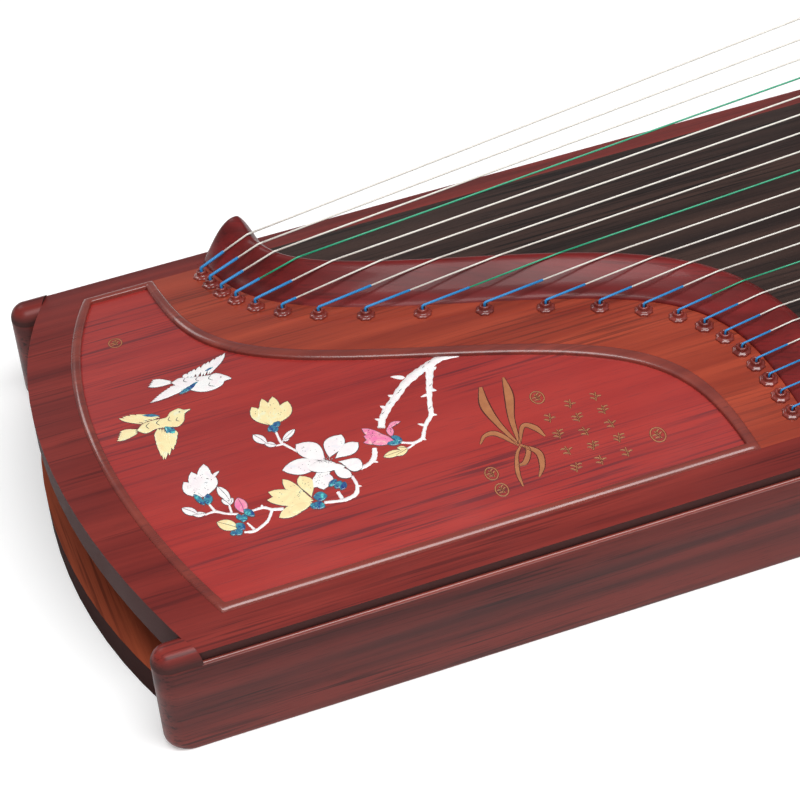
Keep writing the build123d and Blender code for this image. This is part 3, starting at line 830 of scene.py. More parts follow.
nut = Bench()
profile = through(nut_profile, 5)
nut_rows = 220
for i in range(nut_rows + 1):
    y = nut_near_end + (nut_far_end - nut_near_end) * i / nut_rows
    x, base_y, across_x, across_y = nut_base(y)
    crest_y = base_y + across_y * nut_face
    floor = arch_z(min(crest_y, half_width - 2))
    to_end = min(1.0, min(y - nut_near_end, nut_far_end - y) / nut_end_round)
    full = 0.82 + 0.18 * math.sqrt(1 - (1 - to_end) ** 2)
    rise = (nut_crest_z(crest_y) - floor) * full
    swell = smooth_share((y - nut_far_end + nut_swell_length) / nut_swell_length)
    for across, share in profile:
        if 0 < across < nut_face:
            bulged = 0.1 + 0.9 * math.sin(math.pi / 2 * across / nut_face)
            share += (bulged - share) * swell
        across = nut_width / 2 + (across - nut_width / 2) * full
        place = (x + across_x * across, base_y + across_y * across)
        seat = arch_z(min(place[1], half_width + 20)) - nut_seat_sink
        nut.points.append((*place, max(seat, floor + share * rise)))
nut.faces += rings_to_faces(nut_rows + 1, len(profile))
nut.faces.append(tuple(range(len(profile))))
nut.faces.append(tuple(reversed(range(nut_rows * len(profile), (nut_rows + 1) * len(profile)))))
nut.finishes = [0] * len(nut.faces)
tail_nut = nut.make("tail_nut_moulding", [nut_wood], "nut_wood", stands_for=["tail_nut"])
sharpen(tail_nut, 50)
print("tail nut:", len(nut.faces), "faces")

# %% [markdown]
# ## Bushings
# Each string passes through a small turned bushing.  Its flange is fluted like a flower and carries
# a raised collar. The outline is turned about the hole's axis, and the flutes are a small change of
# the flange's radius with the angle.

# %% Turn the bushings
bushing_flange, bushing_bore, bushing_height = 6.0, 1.75, 4.5
hole_middle, hole_centre = 261.6, 18.9
head_hole_x = 592.0
flute_count, flute_depth = 8, 0.05
bushing_outline = (
    (bushing_flange - 0.1, 0.0, 1.0), (bushing_flange, 0.5, 1.0), (bushing_flange - 0.3, 1.05, 1.0),
    (bushing_flange - 1.0, 1.45, 0.8),
    (4.2, 1.55, 0.4), (3.6, 1.9, 0.1), (3.3, 2.6, 0.0), (3.35, 3.5, 0.0), (3.2, 4.15, 0.0),
    (2.8, bushing_height, 0.0),
    (2.2, bushing_height - 0.05, 0.0), (bushing_bore, 4.1, 0.0), (bushing_bore, -9.0, 0.0),
)
bushing_sides = 48


def hole_places():
    """Centres of the tail holes and of the head holes."""
    tail = [(along_tail(s_curve(hole_middle, hole_centre, string_y(n))),
        string_y(n)) for n in string_numbers]
    return tail + [(head_hole_x, string_y(n)) for n in string_numbers]


bushings = Bench()
for hole_x, hole_y in hole_places():
    lean = math.asin(hole_y / arch_radius)
    points = []
    for radius, height, flute in bushing_outline:
        for k in range(bushing_sides):
            angle = 2 * math.pi * k / bushing_sides
            reach = radius * (1 - flute * flute_depth * (1 - math.cos(flute_count * angle)))
            along, across = reach * math.cos(angle), reach * math.sin(angle)
            points.append((
                hole_x + along,
                hole_y + across * math.cos(lean) + height * math.sin(lean),
                arch_z(hole_y) - across * math.sin(lean) + height * math.cos(lean),
            ))
    bushings.add(points, rings_to_faces(len(bushing_outline), bushing_sides))
bushings.make("bushings", [turned_wood], "turned_rosewood", stands_for=["string_bushings"])
print("bushings:", len(hole_places()))

# %% [markdown]
# ## Strings
# A string leaves its bushing wound in blue, bends over the nut, runs bare to its bridge, over the
# head nut and down to its tuning pin.  The bridge slides, so the two stretches that meet on it are
# made as pieces of their own that ride on no body, and the rest of the string stays with the body.
# Every fifth string is green, so that the player can find the notes.

# %% Routes of the strings
bridge_first_x, bridge_last_x = 400.0, -228.0
bridge_low, bridge_extra = 44.0, 34.0
head_nut_x, head_nut_height = 560.0, 10.0
pin_rows = (648.0, 683.0, 718.0)
pin_radius, coil_wire, coil_height = 3.5, 0.55, 50.0
string_clearance, nut_bend_lift, bridge_lift = 0.2, 0.6, 0.36
green_strings = (3, 8, 13, 18)
winding_lengths = (26, 25, 26, 25, 23, 28, 27, 27, 32, 26, 32, 47, 38, 36, 43, 12, 31, 21, 20, 26, 22)
string_sides = 10


def bridge_x(number):
    """X of a bridge, in a straight slant from the treble to the bass."""
    return bridge_first_x + (bridge_last_x - bridge_first_x) * (number - 1) / (string_count - 1)


def bridge_height(number):
    """Height of a bridge over the arched top, taller towards the bass."""
    return bridge_low + bridge_extra * ((number - 1) / (string_count - 1)) ** 3


def string_places(number):
    """Places that the string bends over: hole, nut, bridge, head nut and head hole."""
    y, radius = string_y(number), string_radius(number)
    lift = radius + string_clearance
    tail_x = along_tail(s_curve(hole_middle, hole_centre, y))
    return [
        Vector(on_top(tail_x, y, bushing_height + 2 * lift)),
        Vector((nut_crest_x(y), y, nut_crest_z(y) + lift + nut_bend_lift)),
        Vector((bridge_x(number), y, arch_z(y) + bridge_height(number) + string_clearance + bridge_lift)),
        Vector((head_nut_x, y, arch_z(y) + head_nut_height + lift + nut_bend_lift)),
        Vector(on_top(head_hole_x, y, bushing_height + 2 * lift)),
    ]


def rounded(before, corner, after, radius, steps=8):
    """Points of an arc of this radius that rounds a corner."""
    back, on = (before - corner).normalized(), (after - corner).normalized()
    half = back.angle(on) / 2
    reach = radius / math.tan(half)
    centre = corner + (back + on).normalized() * (radius / math.sin(half))
    start, end = corner + back * reach - centre, corner + on * reach - centre
    turn = start.angle(end)
    arc = []
    for i in range(steps + 1):
        t = i / steps
        arc.append(centre + (start * math.sin((1 - t) * turn) + end * math.sin(t * turn)) / math.sin(turn))
    return arc


print("string 11 crosses the nut at", [round(v, 1) for v in string_places(11)[1]])

# %% Make the fixed ends of the strings
tail_ends, head_ends = Bench(), Bench()
seams = {}
for number in string_numbers:
    hole, nut_top, bridge_top, head_top, head_hole = string_places(number)
    radius = string_radius(number)
    finish = 1 if number in green_strings else 0
    y = string_y(number)
    below = Vector(on_top(hole.x, y, -12.0))
    crest = rounded(hole, nut_top, bridge_top, 6.0)
    start_bend = rounded(below, hole, nut_top, 1.5)
    rise = [below, *start_bend]
    wound = hole + (crest[0] - hole).normalized() * min(winding_lengths[number - 1] / 1.2,
        (crest[0] - hole).length * 0.96)
    tube(tail_ends, [*rise, wound], radius * 1.5, 2, string_sides)
    seam = crest[-1] + (bridge_top - crest[-1]).normalized() * 2.0
    tube(tail_ends, [wound - (wound - hole).normalized(), *crest, seam], radius, finish, string_sides)
    head_seam = head_top + (bridge_top - head_top).normalized() * 8.0
    below_head = Vector(on_top(head_hole_x, y, -14.5))
    pin_x, pin_y = pin_rows[number % 3], y
    meet = Vector((pin_x - 0.4, pin_y + pin_radius + coil_wire, coil_height))
    line = [head_seam, *rounded(head_seam, head_top, head_hole, 6.0),
        *rounded(head_top, head_hole, below_head, 1.5)]
    line += [*rounded(head_hole, below_head, meet, 4.0), meet]
    tube(head_ends, line, radius, finish, string_sides)
    seams[number] = (seam, head_seam)
string_finishes = [white_nylon, green_nylon, blue_winding]
tail_ends.make("string_tail_ends", string_finishes, "string_nylon", stands_for=["strings"])
head_ends.make("string_head_ends", string_finishes[:2], "string_nylon")
print("fixed string ends made")

# %% Make the stretches that meet on each bridge
for number in string_numbers:
    _, _, bridge_top, _, _ = string_places(number)
    seam, head_seam = seams[number]
    radius = string_radius(number)
    material = green_nylon if number in green_strings else white_nylon
    bend = rounded(seam, bridge_top, head_seam, 12.0)
    middle = len(bend) // 2
    body_side, head_side = Bench(), Bench()
    stretch = (bend[0] - seam)
    tube(body_side, [seam, *(seam + stretch * (k / 12) for k in range(1, 12)), *bend[:middle + 1]],
        radius, 0, string_sides)
    stretch = head_seam - bend[-1]
    tube(head_side, [*bend[middle:], *(bend[-1] + stretch * (k / 12) for k in range(1, 13))], radius, 0,
        string_sides)
    left = body_side.make(f"string_{number:02d}_tail_run", [material], "string_nylon", body=None)
    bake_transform(left)
    right = head_side.make(f"string_{number:02d}_head_run", [material], "string_nylon", body=None)
    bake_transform(right)
print("string runs:", 2 * string_count)

# %% Wind a coil on each tuning pin
coil_turns, coil_steps = 4, 20
for number in string_numbers:
    pin_x, pin_y = pin_rows[number % 3], string_y(number)
    radius = string_radius(number) * 0.8
    line = []
    for k in range(coil_turns * coil_steps + 1):
        angle = math.pi / 2 - 2 * math.pi * k / coil_steps
        reach = pin_radius + coil_wire + 0.05
        height = coil_height + 1.6 - 3.2 * k / (coil_turns * coil_steps)
        line.append((pin_x + reach * math.cos(angle), pin_y + reach * math.sin(angle), height))
    coil = Bench()
    tube(coil, line, radius + 0.16, 0, 8)
    material = green_nylon if number in green_strings else white_nylon
    coil.make(f"string_{number:02d}_coil", [material], "string_nylon", body=f"tuning_pin_{number:02d}")
print("coils:", string_count)

# %% [markdown]
# ## Shell inlay: the tools
# The inlay shows a magnolia branch and two birds.  Every leaf, petal and feather is a thin plate of
# shell cut to an outline and let into the panel.  `plate` lays one plate on the arch with a soft
# crown, and sets it in a slightly larger dark bed, which leaves the fine line that an engraver
# would cut between two petals.

# %% Plates, petals and lines
bed_margin = 0.28
plate_rings = ((1.0, -0.35), (1.0, 0.6), (0.95, 1.0), (0.7, 1.25), (0.35, 1.4))
WHITE, CREAM, PINK, ABALONE, INK, GOLD, EDGE = range(7)


def on_panel(distance, y, height):
    """Point on the panel, given by its distance from the ears' noses."""
    return (along_tail(distance), y, arch_z(y, panel_sink) + height)


def turned_area(points):
    """Twice the area inside an outline, below zero when the outline runs clockwise."""
    following = np.roll(points, -1, 0)
    return np.sum(points[:, 0] * following[:, 1] - points[:, 1] * following[:, 0])


def grown(outline, margin):
    """The outline moved outwards by a margin."""
    points = np.array(outline, float)
    way = np.roll(points, -1, 0) - np.roll(points, 1, 0)
    way /= np.maximum(np.linalg.norm(way, axis=1, keepdims=True), 1e-6)
    normals = np.stack([way[:, 1], -way[:, 0]], 1)
    return points + normals * margin * (1 if turned_area(points) > 0 else -1)


def plate(bench, outline, finish, lift=0.22, bed=True):
    """One plate of shell, and its bed."""
    if bed:
        plate(bench, grown(outline, bed_margin), INK, lift * 0.72, False)
    points = np.array(outline, float)
    middle = points.mean(0)
    made = []
    for share, height in plate_rings:
        for x, y in middle + (points - middle) * share:
            made.append(on_panel(x, y, lift * height if height > 0 else height))
    made.append(on_panel(*middle, lift * 1.45))
    count = len(points)
    faces = rings_to_faces(len(plate_rings), count)
    last = (len(plate_rings) - 1) * count
    faces += [(last + i, last + (i + 1) % count, len(made) - 1) for i in range(count)]
    if turned_area(points) < 0:
        faces = [tuple(reversed(face)) for face in faces]
    bench.add(made, faces, finish)


def petal(root, tip, width, fullest=0.6, curl=0.0, blunt=0.0, steps=9):
    """Outline of a petal from root to tip; fullest is where it is widest, curl bends it sideways."""
    root, tip = np.array(root, float), np.array(tip, float)
    way = tip - root
    side = np.array((-way[1], way[0])) / max(np.linalg.norm(way), 1e-6)
    power = math.log(0.5) / math.log(fullest)
    left, right = [], []
    for i in range(steps + 1):
        t = i / steps
        half = width / 2 * (math.sin(math.pi * min(1.0, t**power * (1 - blunt))) ** 0.75 if 0 < t else 0.05)
        middle = root + way * t + side * curl * math.sin(math.pi * t)
        left.append(middle + side * half)
        right.append(middle - side * half)
    return right[:-1] + ([tip] if not blunt else [right[-1], left[-1]]) + left[-2:0:-1]


def line_on(bench, points, width=0.32, finish=INK, height=0.44, steps=4):
    """Fine engraved line over the plates."""
    line = through(points, steps) if len(points) > 2 else [np.array(p, float) for p in points]
    made = []
    for i, place in enumerate(line):
        way = line[min(i + 1, len(line) - 1)] - line[max(i - 1, 0)]
        side = np.array((-way[1], way[0])) / max(np.linalg.norm(way), 1e-6) * width / 2
        thin = 0.35 + 0.65 * math.sin(math.pi * (i + 0.5) / len(line))
        made.append(on_panel(*(place + side * thin), height))
        made.append(on_panel(*(place - side * thin), height))
    faces = [(2 * i, 2 * i + 1, 2 * i + 3, 2 * i + 2) for i in range(len(line) - 1)]
    bench.add(made, faces, finish)


def dot_on(bench, x, y, radius=0.26, finish=INK, height=0.46):
    """Small engraved dot."""
    made = [on_panel(x + radius * math.cos(a), y + radius * math.sin(a), height) for a in np.linspace(0,
        2 * math.pi, 7)[:-1]]
    bench.add(made, [tuple(range(6))], finish)


random.seed(21)


def speckle(bench, root, tip, width, count):
    """Pollen dots scattered over the inner half of a petal."""
    root, tip = np.array(root, float), np.array(tip, float)
    way = tip - root
    side = np.array((-way[1], way[0])) / max(np.linalg.norm(way), 1e-6)
    for _ in range(count):
        t = random.uniform(0.28, 0.78)
        across = random.uniform(-0.3, 0.3) * width * math.sin(math.pi * t)
        dot_on(bench, *(root + way * t + side * across), radius=random.uniform(0.18, 0.28))


inlay = Bench()
print("inlay tools ready")

# %% [markdown]
# ## Shell inlay: the branch
# The limb grows from the bead, forks, and ends in twigs that carry the flowers.  Each limb is a
# smooth line with its own width at each place, and thorns and knots are small petals that start
# inside it.

# %% Cut the branch
def limb(bench, places, finish=WHITE, lift=0.18):
    """A limb through places given as (distance, y, width)."""
    line = through(places, 6)
    left, right = [], []
    for i, (x, y, width) in enumerate(line):
        way = line[min(i + 1, len(line) - 1)] - line[max(i - 1, 0)]
        side = np.array((-way[1], way[0])) / max(np.hypot(way[0], way[1]), 1e-6)
        knot = 1 + 0.1 * math.sin(i * 1.9) + 0.06 * math.sin(i * 0.7)
        left.append(np.array((x, y)) + side * width / 2 * knot)
        right.append(np.array((x, y)) - side * width / 2 * knot)
    made, rows = [], ((1.0, -0.3), (0.9, 1.0), (0.0, 1.5), (-0.9, 1.0), (-1.0, -0.3))
    for a, b in zip(left, right):
        middle, half = (a + b) / 2, (a - b) / 2
        for share, height in rows:
            made.append(on_panel(*(middle + half * share), lift * height if height > 0 else height))
    faces = rings_to_faces(len(left), len(rows), closed=False)
    faces += [(0, 1, 2, 3, 4), tuple(range(len(made) - 1, len(made) - 6, -1))]
    bench.add(made, [tuple(reversed(face)) for face in faces], finish)


limbs = (
    ((239.8, -16.2, 1.2), (229, -13.5, 5.6), (219, -17, 6.4), (211.5, -20, 6.4), (201, -26.5, 6.0),
    (192, -35, 5.2),
     (184.5, -42, 5.0), (178.5, -49.5, 4.6), (175.2, -56.5, 4.4)),
    ((219.5, -19.5, 5.0), (215.8, -29, 4.6), (212.4, -38, 3.8), (208.6, -49, 3.2), (206.3, -57.2, 3.2),
    (201.1, -62.9, 2.6),
     (197.6, -68.5, 2.4), (194.8, -73, 2.6), (189, -74.6, 2.0), (182.1, -71.6, 1.6)),
    ((190.5, -74.4, 2.0), (186.5, -76.6, 1.5), (183.4, -77.6, 1.3)),
    ((166.1, -69.9, 2.6), (164.6, -74.6, 3.6), (162.4, -78, 3.4), (158.4, -80.6, 2.8), (153, -82, 2.4)),
    ((146.6, -85.6, 1.8), (147, -93, 2.2), (144.4, -98.8, 2.8), (139, -100.6, 2.8), (134.5, -100.6, 2.2),
    (125.2, -98.4, 2.0)),
    ((135.0, -93.8, 2.2), (135.8, -100.0, 2.4)),
    ((102, -94.4, 2.4), (95.5, -92.2, 2.0), (91.3, -89.2, 2.0), (83.2, -89.2, 1.7)),
    ((95.6, -92.6, 1.8), (92.2, -97.6, 1.8), (89.2, -100.4, 1.9), (81.5, -103.7, 2.0), (75.6, -102.4, 1.4)),
    ((81.8, -103.2, 1.8), (79.3, -96.6, 1.2)),
    ((76.6, -88.6, 1.5), (70, -85.6, 1.6), (64.7, -81.9, 1.8), (58.6, -82.0, 1.3)),
    ((64.9, -82.0, 1.8), (63.2, -75.6, 1.4)),
    ((73.2, -86.8, 1.5), (73.7, -80.4, 1.3)),
    ((116.9, -35.4, 1.4), (116.9, -44.6, 1.8), (118.4, -47.2, 1.8), (123.6, -55.6, 1.7)),
    ((118.2, -46.4, 1.6), (113.4, -46.0, 1.3)),
    ((116.9, -45.6, 1.3), (118.4, -43.6, 1.0)),
)
for places in limbs:
    limb(inlay, places)
thorns = (
    ((203, -21.5), (195.2, -16.9), 3.4), ((211.6, -40.6), (205.6, -40.9), 2.2),
    ((212, -36.6), (216.6, -39.4), 3.0),
    ((205.4, -56.5), (209.6, -58.8), 2.2), ((200, -64.2), (196.2, -61.2), 1.9),
    ((220.6, -21.5), (223.8, -19.6), 2.4),
    ((191, -34.2), (188.2, -31.8), 2.4), ((183.6, -42), (180.8, -38.6), 2.6),
    ((177.6, -50.5), (174.2, -47.6), 2.0),
    ((194.2, -72.8), (196.6, -75.2), 1.8), ((146.8, -93.6), (149.4, -94.8), 1.3),
    ((90.8, -89.6), (91.2, -86.8), 1.9),
    ((162, -79.4), (164.4, -81.2), 1.6),
)
for root, tip, width in thorns:
    plate(inlay, petal(root, tip, width, 0.35), WHITE, 0.18, bed=False)
for x, y in ((221, -14.6), (216.4, -17.2), (214.2, -23), (196.6, -31), (194.6, -32.6), (187, -39),
    (180.4, -45.4), (214.8, -34), (207.6, -52)):
    line_on(inlay, [(x - 1.1, y - 0.5), (x, y + 0.2), (x + 1.2, y + 0.9)], 0.35)
print("limbs:", len(limbs), "thorns:", len(thorns))

# %% [markdown]
# ## Shell inlay: the flowers
# The open magnolia has eight petals round a small crown of stamens.  The others are still half
# closed: their petals overlap like roof tiles, the ones behind laid first.  Calyces are abalone.

# %% Cut the flowers
def flower(petals, finish, dots=8):
    """Petals given as (root, tip, width, fullest, curl), laid in order."""
    for layer, (root, tip, width, fullest, curl) in enumerate(petals):
        plate(inlay, petal(root, tip, width, fullest, curl), finish, 0.2 + 0.035 * layer)
        speckle(inlay, root, tip, width, dots)


def calyx(places):
    """Abalone lobes given as (root, tip, width)."""
    for root, tip, width in places:
        plate(inlay, petal(root, tip, width, 0.5), ABALONE, 0.42)


flower((
    ((130, -74), (128.0, -89.2), 11.5, 0.55, 1.5), ((138, -74), (122.4, -85.6), 8.0, 0.6, 0),
    ((134, -69), (110.5, -66.3), 12.6, 0.52, 0), ((136, -68), (124.4, -49.6), 13.2, 0.56, -1.2),
    ((139, -67), (151.8, -52.4), 12.0, 0.58, 1.4), ((142, -69), (158.8, -62.2), 9.6, 0.62, 0),
    ((143, -72), (154.4, -82.2), 10.2, 0.66, 1.0), ((139, -74), (146.2, -86.4), 7.4, 0.6, -0.8),
    ((143, -76.4), (123.8, -70.6), 9.4, 0.5, -1.2), ((131, -73.6), (145.4, -77.6), 5.2, 0.6, 0.6),
), WHITE)
calyx((((139.5, -86.6), (134.6, -91.2), 4.6), ((141.4, -88.2), (137.2, -93.2), 4.4),
    ((137.5, -84.6), (131.6, -88.4), 3.8)))
for k in range(26):
    angle, reach = 2.4 * k, 0.75 * math.sqrt(k)
    x, y = 136.2 + 1.15 * reach * math.cos(angle), -69.6 + 0.8 * reach * math.sin(angle)
    dot_on(inlay, x, y, 0.42, INK, 0.62)
    dot_on(inlay, x + 0.05, y + 0.05, 0.22, WHITE, 0.66)

flower((
    ((116.9, -29.6), (110.1, -8.6), 8.0, 0.6, 1.5), ((117.2, -29), (131.6, -12.4), 9.6, 0.58, -1.6),
    ((117, -29), (118.0, -4.0), 7.2, 0.55, 0), ((117.4, -29), (124.6, -4.8), 7.4, 0.6, -0.6),
    ((117, -30), (115.2, -9.6), 7.6, 0.55, 0.8), ((118, -30), (122.6, -12.6), 6.0, 0.55, 0),
), CREAM, 6)
calyx((((118.6, -28.6), (112.8, -33.2), 4.2), ((116.6, -31), (121.6, -27.4), 4.6),
    ((117.4, -29.4), (116.6, -35.6), 4.4)))

flower((
    ((61.6, -69), (54.6, -53.2), 7.4, 0.6, 1.6), ((63, -69), (71.6, -52.8), 7.6, 0.6, -1.4),
    ((62, -69), (61.0, -47.2), 7.4, 0.6, 0.6), ((63, -69), (69.6, -43.8), 8.4, 0.62, 0),
    ((62.4, -70), (65.0, -51.6), 8.4, 0.58, 0.8),
), WHITE, 7)
calyx((((57.2, -64.6), (60.6, -75.2), 3.4), ((64.8, -67.4), (62.6, -75.8), 5.4)))
plate(inlay, petal((70.4, -58.4), (76.4, -52.8), 2.2, 0.55, 0.9), WHITE, 0.3)

flower((
    ((119.6, -93.6), (108.4, -72.9), 7.0, 0.62, 1.5), ((119.6, -92), (118.4, -74.2), 9.2, 0.64, -1.4),
    ((118.6, -97), (97.4, -99.6), 8.4, 0.6, -1.2), ((119.4, -93.4), (97.6, -79.2), 9.4, 0.56, 0.8),
    ((119.9, -95), (95.0, -84.8), 9.2, 0.54, -0.4), ((119, -96), (103.0, -97.6), 6.4, 0.55, 0),
), CREAM, 8)
calyx((((120.6, -92.2), (128.4, -94.6), 7.0), ((118.8, -96.8), (124.6, -101.8), 5.6),
    ((117.2, -96.4), (120.8, -101.2), 4.2)))

flower((
    ((178.2, -67.4), (164.4, -52.3), 6.2, 0.6, 1.2), ((178, -69), (161.6, -63.4), 5.4, 0.62, -1.0),
    ((178.6, -65.4), (179.8, -56.6), 4.2, 0.55, 0), ((178.8, -58.4), (187.6, -55.6), 3.4, 0.5, 1.2),
    ((178.6, -69.4), (163.4, -58.6), 9.4, 0.5, 0.6),
), PINK, 9)
calyx((((178.4, -64.6), (183.2, -70.8), 3.8), ((173.8, -69.4), (182.4, -71.6), 4.0)))

for root, tip, width, finish in (
    ((80.2, -89.6), (79.8, -76.6), 7.2, PINK), ((73.4, -98.6), (63.2, -89.8), 7.8, CREAM),
    ((55.2, -80.6), (47.6, -72.4), 5.6, WHITE), ((59.6, -81.8), (52.0, -79.6), 3.8, WHITE),
    ((75.2, -77.6), (71.6, -64.0), 5.6, WHITE), ((74.2, -80.6), (71.0, -74.4), 3.2, WHITE),
    ((74.0, -80.4), (77.2, -75.6), 2.6, WHITE),
    ((109, -42.6), (103.6, -32.0), 6.0, WHITE), ((113.6, -46.2), (107.8, -41.6), 4.2, WHITE),
    ((118.2, -43.6), (128.0, -37.2), 4.2, WHITE), ((118.4, -43.8), (122.4, -43.4), 2.8, WHITE),
    ((180.6, -77.8), (168.6, -78.6), 5.2, CREAM), ((184.2, -77.6), (175.6, -80.2), 4.6, CREAM),
    ((183.6, -77.2), (178.4, -74.6), 3.0, CREAM),
):
    plate(inlay, petal(root, tip, width, 0.52), finish, 0.26)
    line_on(inlay, [root, ((root[0] + tip[0]) / 2 + 0.4, (root[1] + tip[1]) / 2), tip], 0.26, height=0.5)
calyx((
    ((80.4, -86.2), (84.6, -93.6), 4.6), ((79.6, -90), (77.2, -95.4), 4.4),
    ((76.4, -88.6), (76.0, -93.2), 3.2),
    ((73.2, -94.8), (76.6, -100.6), 5.0), ((71.6, -98.8), (73.6, -103.6), 5.0),
    ((69.4, -99), (69.6, -102.8), 3.4),
))
print("inlay faces after the flowers:", len(inlay.faces))

# %% [markdown]
# ## Shell inlay: the birds
# Two small birds fly towards the branch.  A bird is a body, a tail of a few long feathers and two
# wings.  A wing is a fan of feathers between the line of their roots and the line of their tips, so
# a few given points shape it.

# %% Cut the birds
def fan(roots, tips, count, width, finish, lift=0.24):
    """Feathers from a line of roots to a line of tips."""
    root_line, tip_line = through(roots, 8), through(tips, 8)
    for k in range(count):
        share = k / (count - 1)
        root = root_line[round(share * (len(root_line) - 1))]
        tip = tip_line[round(share * (len(tip_line) - 1))]
        plate(inlay, petal(root, tip, width, 0.62, steps=6), finish, lift + 0.012 * k)


def bird(body, finish, tail, wings, patches, eye, marks):
    """One bird; each wing is (roots, tips, feathers, width)."""
    for roots, tips, count, width in tail + wings:
        fan(roots, tips, count, width, finish)
    plate(inlay, through([*body, body[0]], 4)[:-1], finish, 0.4)
    for root, tip, width in patches:
        plate(inlay, petal(root, tip, width, 0.5), ABALONE, 0.46)
    dot_on(inlay, *eye, 0.55, INK, 0.62)
    for mark in marks:
        line_on(inlay, mark, 0.5, height=0.64)


bird(
    ((72.4, 33.8), (77.4, 36.0), (82, 34.9), (89.8, 32.2), (96.6, 30.6), (99.6, 31.0), (103.6, 27.6),
    (107.0, 22.0), (102.6, 21.4),
     (99.8, 18.2), (92.7, 16.2), (85.8, 17.9), (80.6, 22.6), (75.4, 28)),
    WHITE,
    [(((73, 35.2), (72.6, 33)), ((62.4, 41.6), (58.2, 36.2)), 5, 3.0)],
    [(((80.6, 33.4), (88, 31.4), (94.6, 31.2), (97.4, 32.4)),
    ((83.2, 38.6), (92.6, 42.0), (102.8, 45.6), (110.8, 48.0)), 10, 3.4),
     (((88.6, 26.6), (84.6, 26), (80.6, 25.6)), ((55.2, 20.8), (61.8, 25.6), (70.2, 30.2)), 9, 3.4)],
    [((94.0, 35.4), (100.2, 37.4), 1.7), ((87.4, 26.4), (73.6, 20.9), 3.6),
    ((88.8, 27.8), (80.6, 24.6), 2.4)],
    (101.4, 25.4),
    [((81.2, 34.0), (79.6, 31.6), (81.4, 29.8)), ((88.6, 31.8), (86.8, 29.6), (88.4, 27.6)),
     ((96.4, 29.8), (94.2, 27.4), (96, 24.8)), ((93.8, 23.4), (92.6, 20.8), (95.4, 18.6))],
)
bird(
    ((41.2, -0.6), (46.6, 4.0), (53.7, 4.0), (60.6, 3.4), (64.1, 7.0), (69.6, 8.4), (72.2, 5.9),
    (76.2, 4.7), (71.8, 2.1), (69.5, -3.9),
     (64.8, -7.2), (59.5, -5.5), (52.6, -3.9), (45.8, -5.3)),
    CREAM,
    [(((42, 0.2), (41.4, -3.2)), ((31.6, 2.4), (27.8, -4.6)), 5, 3.2)],
    [(((46.6, 3.2), (52, 3.6), (57, 4.6)), ((34.2, 14.8), (40.8, 15.4), (52, 10.4)), 7, 3.0),
     (((53.4, -3.8), (57.4, -5), (61.4, -7.4)), ((50.2, -12.6), (48.6, -22), (49.4, -31.6), (57.4, -24.6),
     (61.6, -15.4)), 12, 3.4)],
    [((57.4, 6.4), (47.6, 11.4), 2.6), ((57.6, -4.0), (62.0, -13.4), 4.6),
    ((60.4, -5.6), (57.0, -10.6), 3.4)],
    (69.2, 4.6),
    [((50.2, 2.6), (47.4, 0.6), (48.4, -2.6)), ((56.4, 2.8), (53.8, 0.6), (55.2, -2.2)),
    ((62.8, 2.8), (61, 0.4), (62.6, -1.6)),
     ((66.8, 0.4), (65.4, -1.8), (66.8, -3.4))],
)
print("inlay faces with the birds:", len(inlay.faces))
shell_finishes = [white_shell, cream_shell, pink_shell, abalone, ink, carved_gold, carved_edge]
inlay.make("shell_inlay_work", shell_finishes, "shell_inlay", stands_for=["tail_inlay"])

# %% [markdown]
# ## Carved ornament
# Beside the branch the panel carries shallow cuts filled with gold.  Here they are orchid leaves
# and small sprigs, a plain ornament.  A cut is a gold bed with a burnished dark lip on each side,
# which catches the light as a knife cut does.

# %% Carve the leaves and sprigs
carving = Bench()


def cut(places, finish=GOLD):
    """A tapering cut through places given as (distance, y, width)."""
    line = through(places, 6)
    made, rows = [], ((1.32, -0.1), (1.16, 0.16), (1.0, 0.05), (-1.0, 0.05), (-1.16, 0.16), (-1.32, -0.1))
    for i, (x, y, width) in enumerate(line):
        way = line[min(i + 1, len(line) - 1)] - line[max(i - 1, 0)]
        side = np.array((-way[1], way[0])) / max(np.hypot(way[0], way[1]), 1e-6)
        for share, height in rows:
            across = share * max(width, 0.3) / 2 + math.copysign(0.12 * abs(share) ** 4, share)
            made.append(on_panel(*(np.array((x, y)) + side * across), height))
    count = len(rows)
    for i in range(len(line) - 1):
        for k in range(count - 1):
            a = i * count + k
            carving.faces.append([len(carving.points) + j for j in (a + 1, a, a + count, a + count + 1)])
            carving.finishes.append(finish if k == 2 else EDGE)
    carving.points.extend(made)


def sprig(x, y, size, lean, leaves=3):
    """A short stem with pairs of leaves."""
    c, s = math.cos(math.radians(lean)), math.sin(math.radians(lean))
    place = lambda a, b: (x + size * (a * c - b * s), y + size * (a * s + b * c))
    cut([(*place(0, -1), 0.3), (*place(0.05, 0), 0.6), (*place(0, 1), 0.3)])
    for k in range(leaves):
        base = -0.7 + 1.4 * k / leaves
        way = 1 if k % 2 else -1
        cut([(*place(0, base), 0.4), (*place(0.5 * way, base + 0.35), 0.22 * size),
            (*place(0.95 * way, base + 0.4), 0.3)])


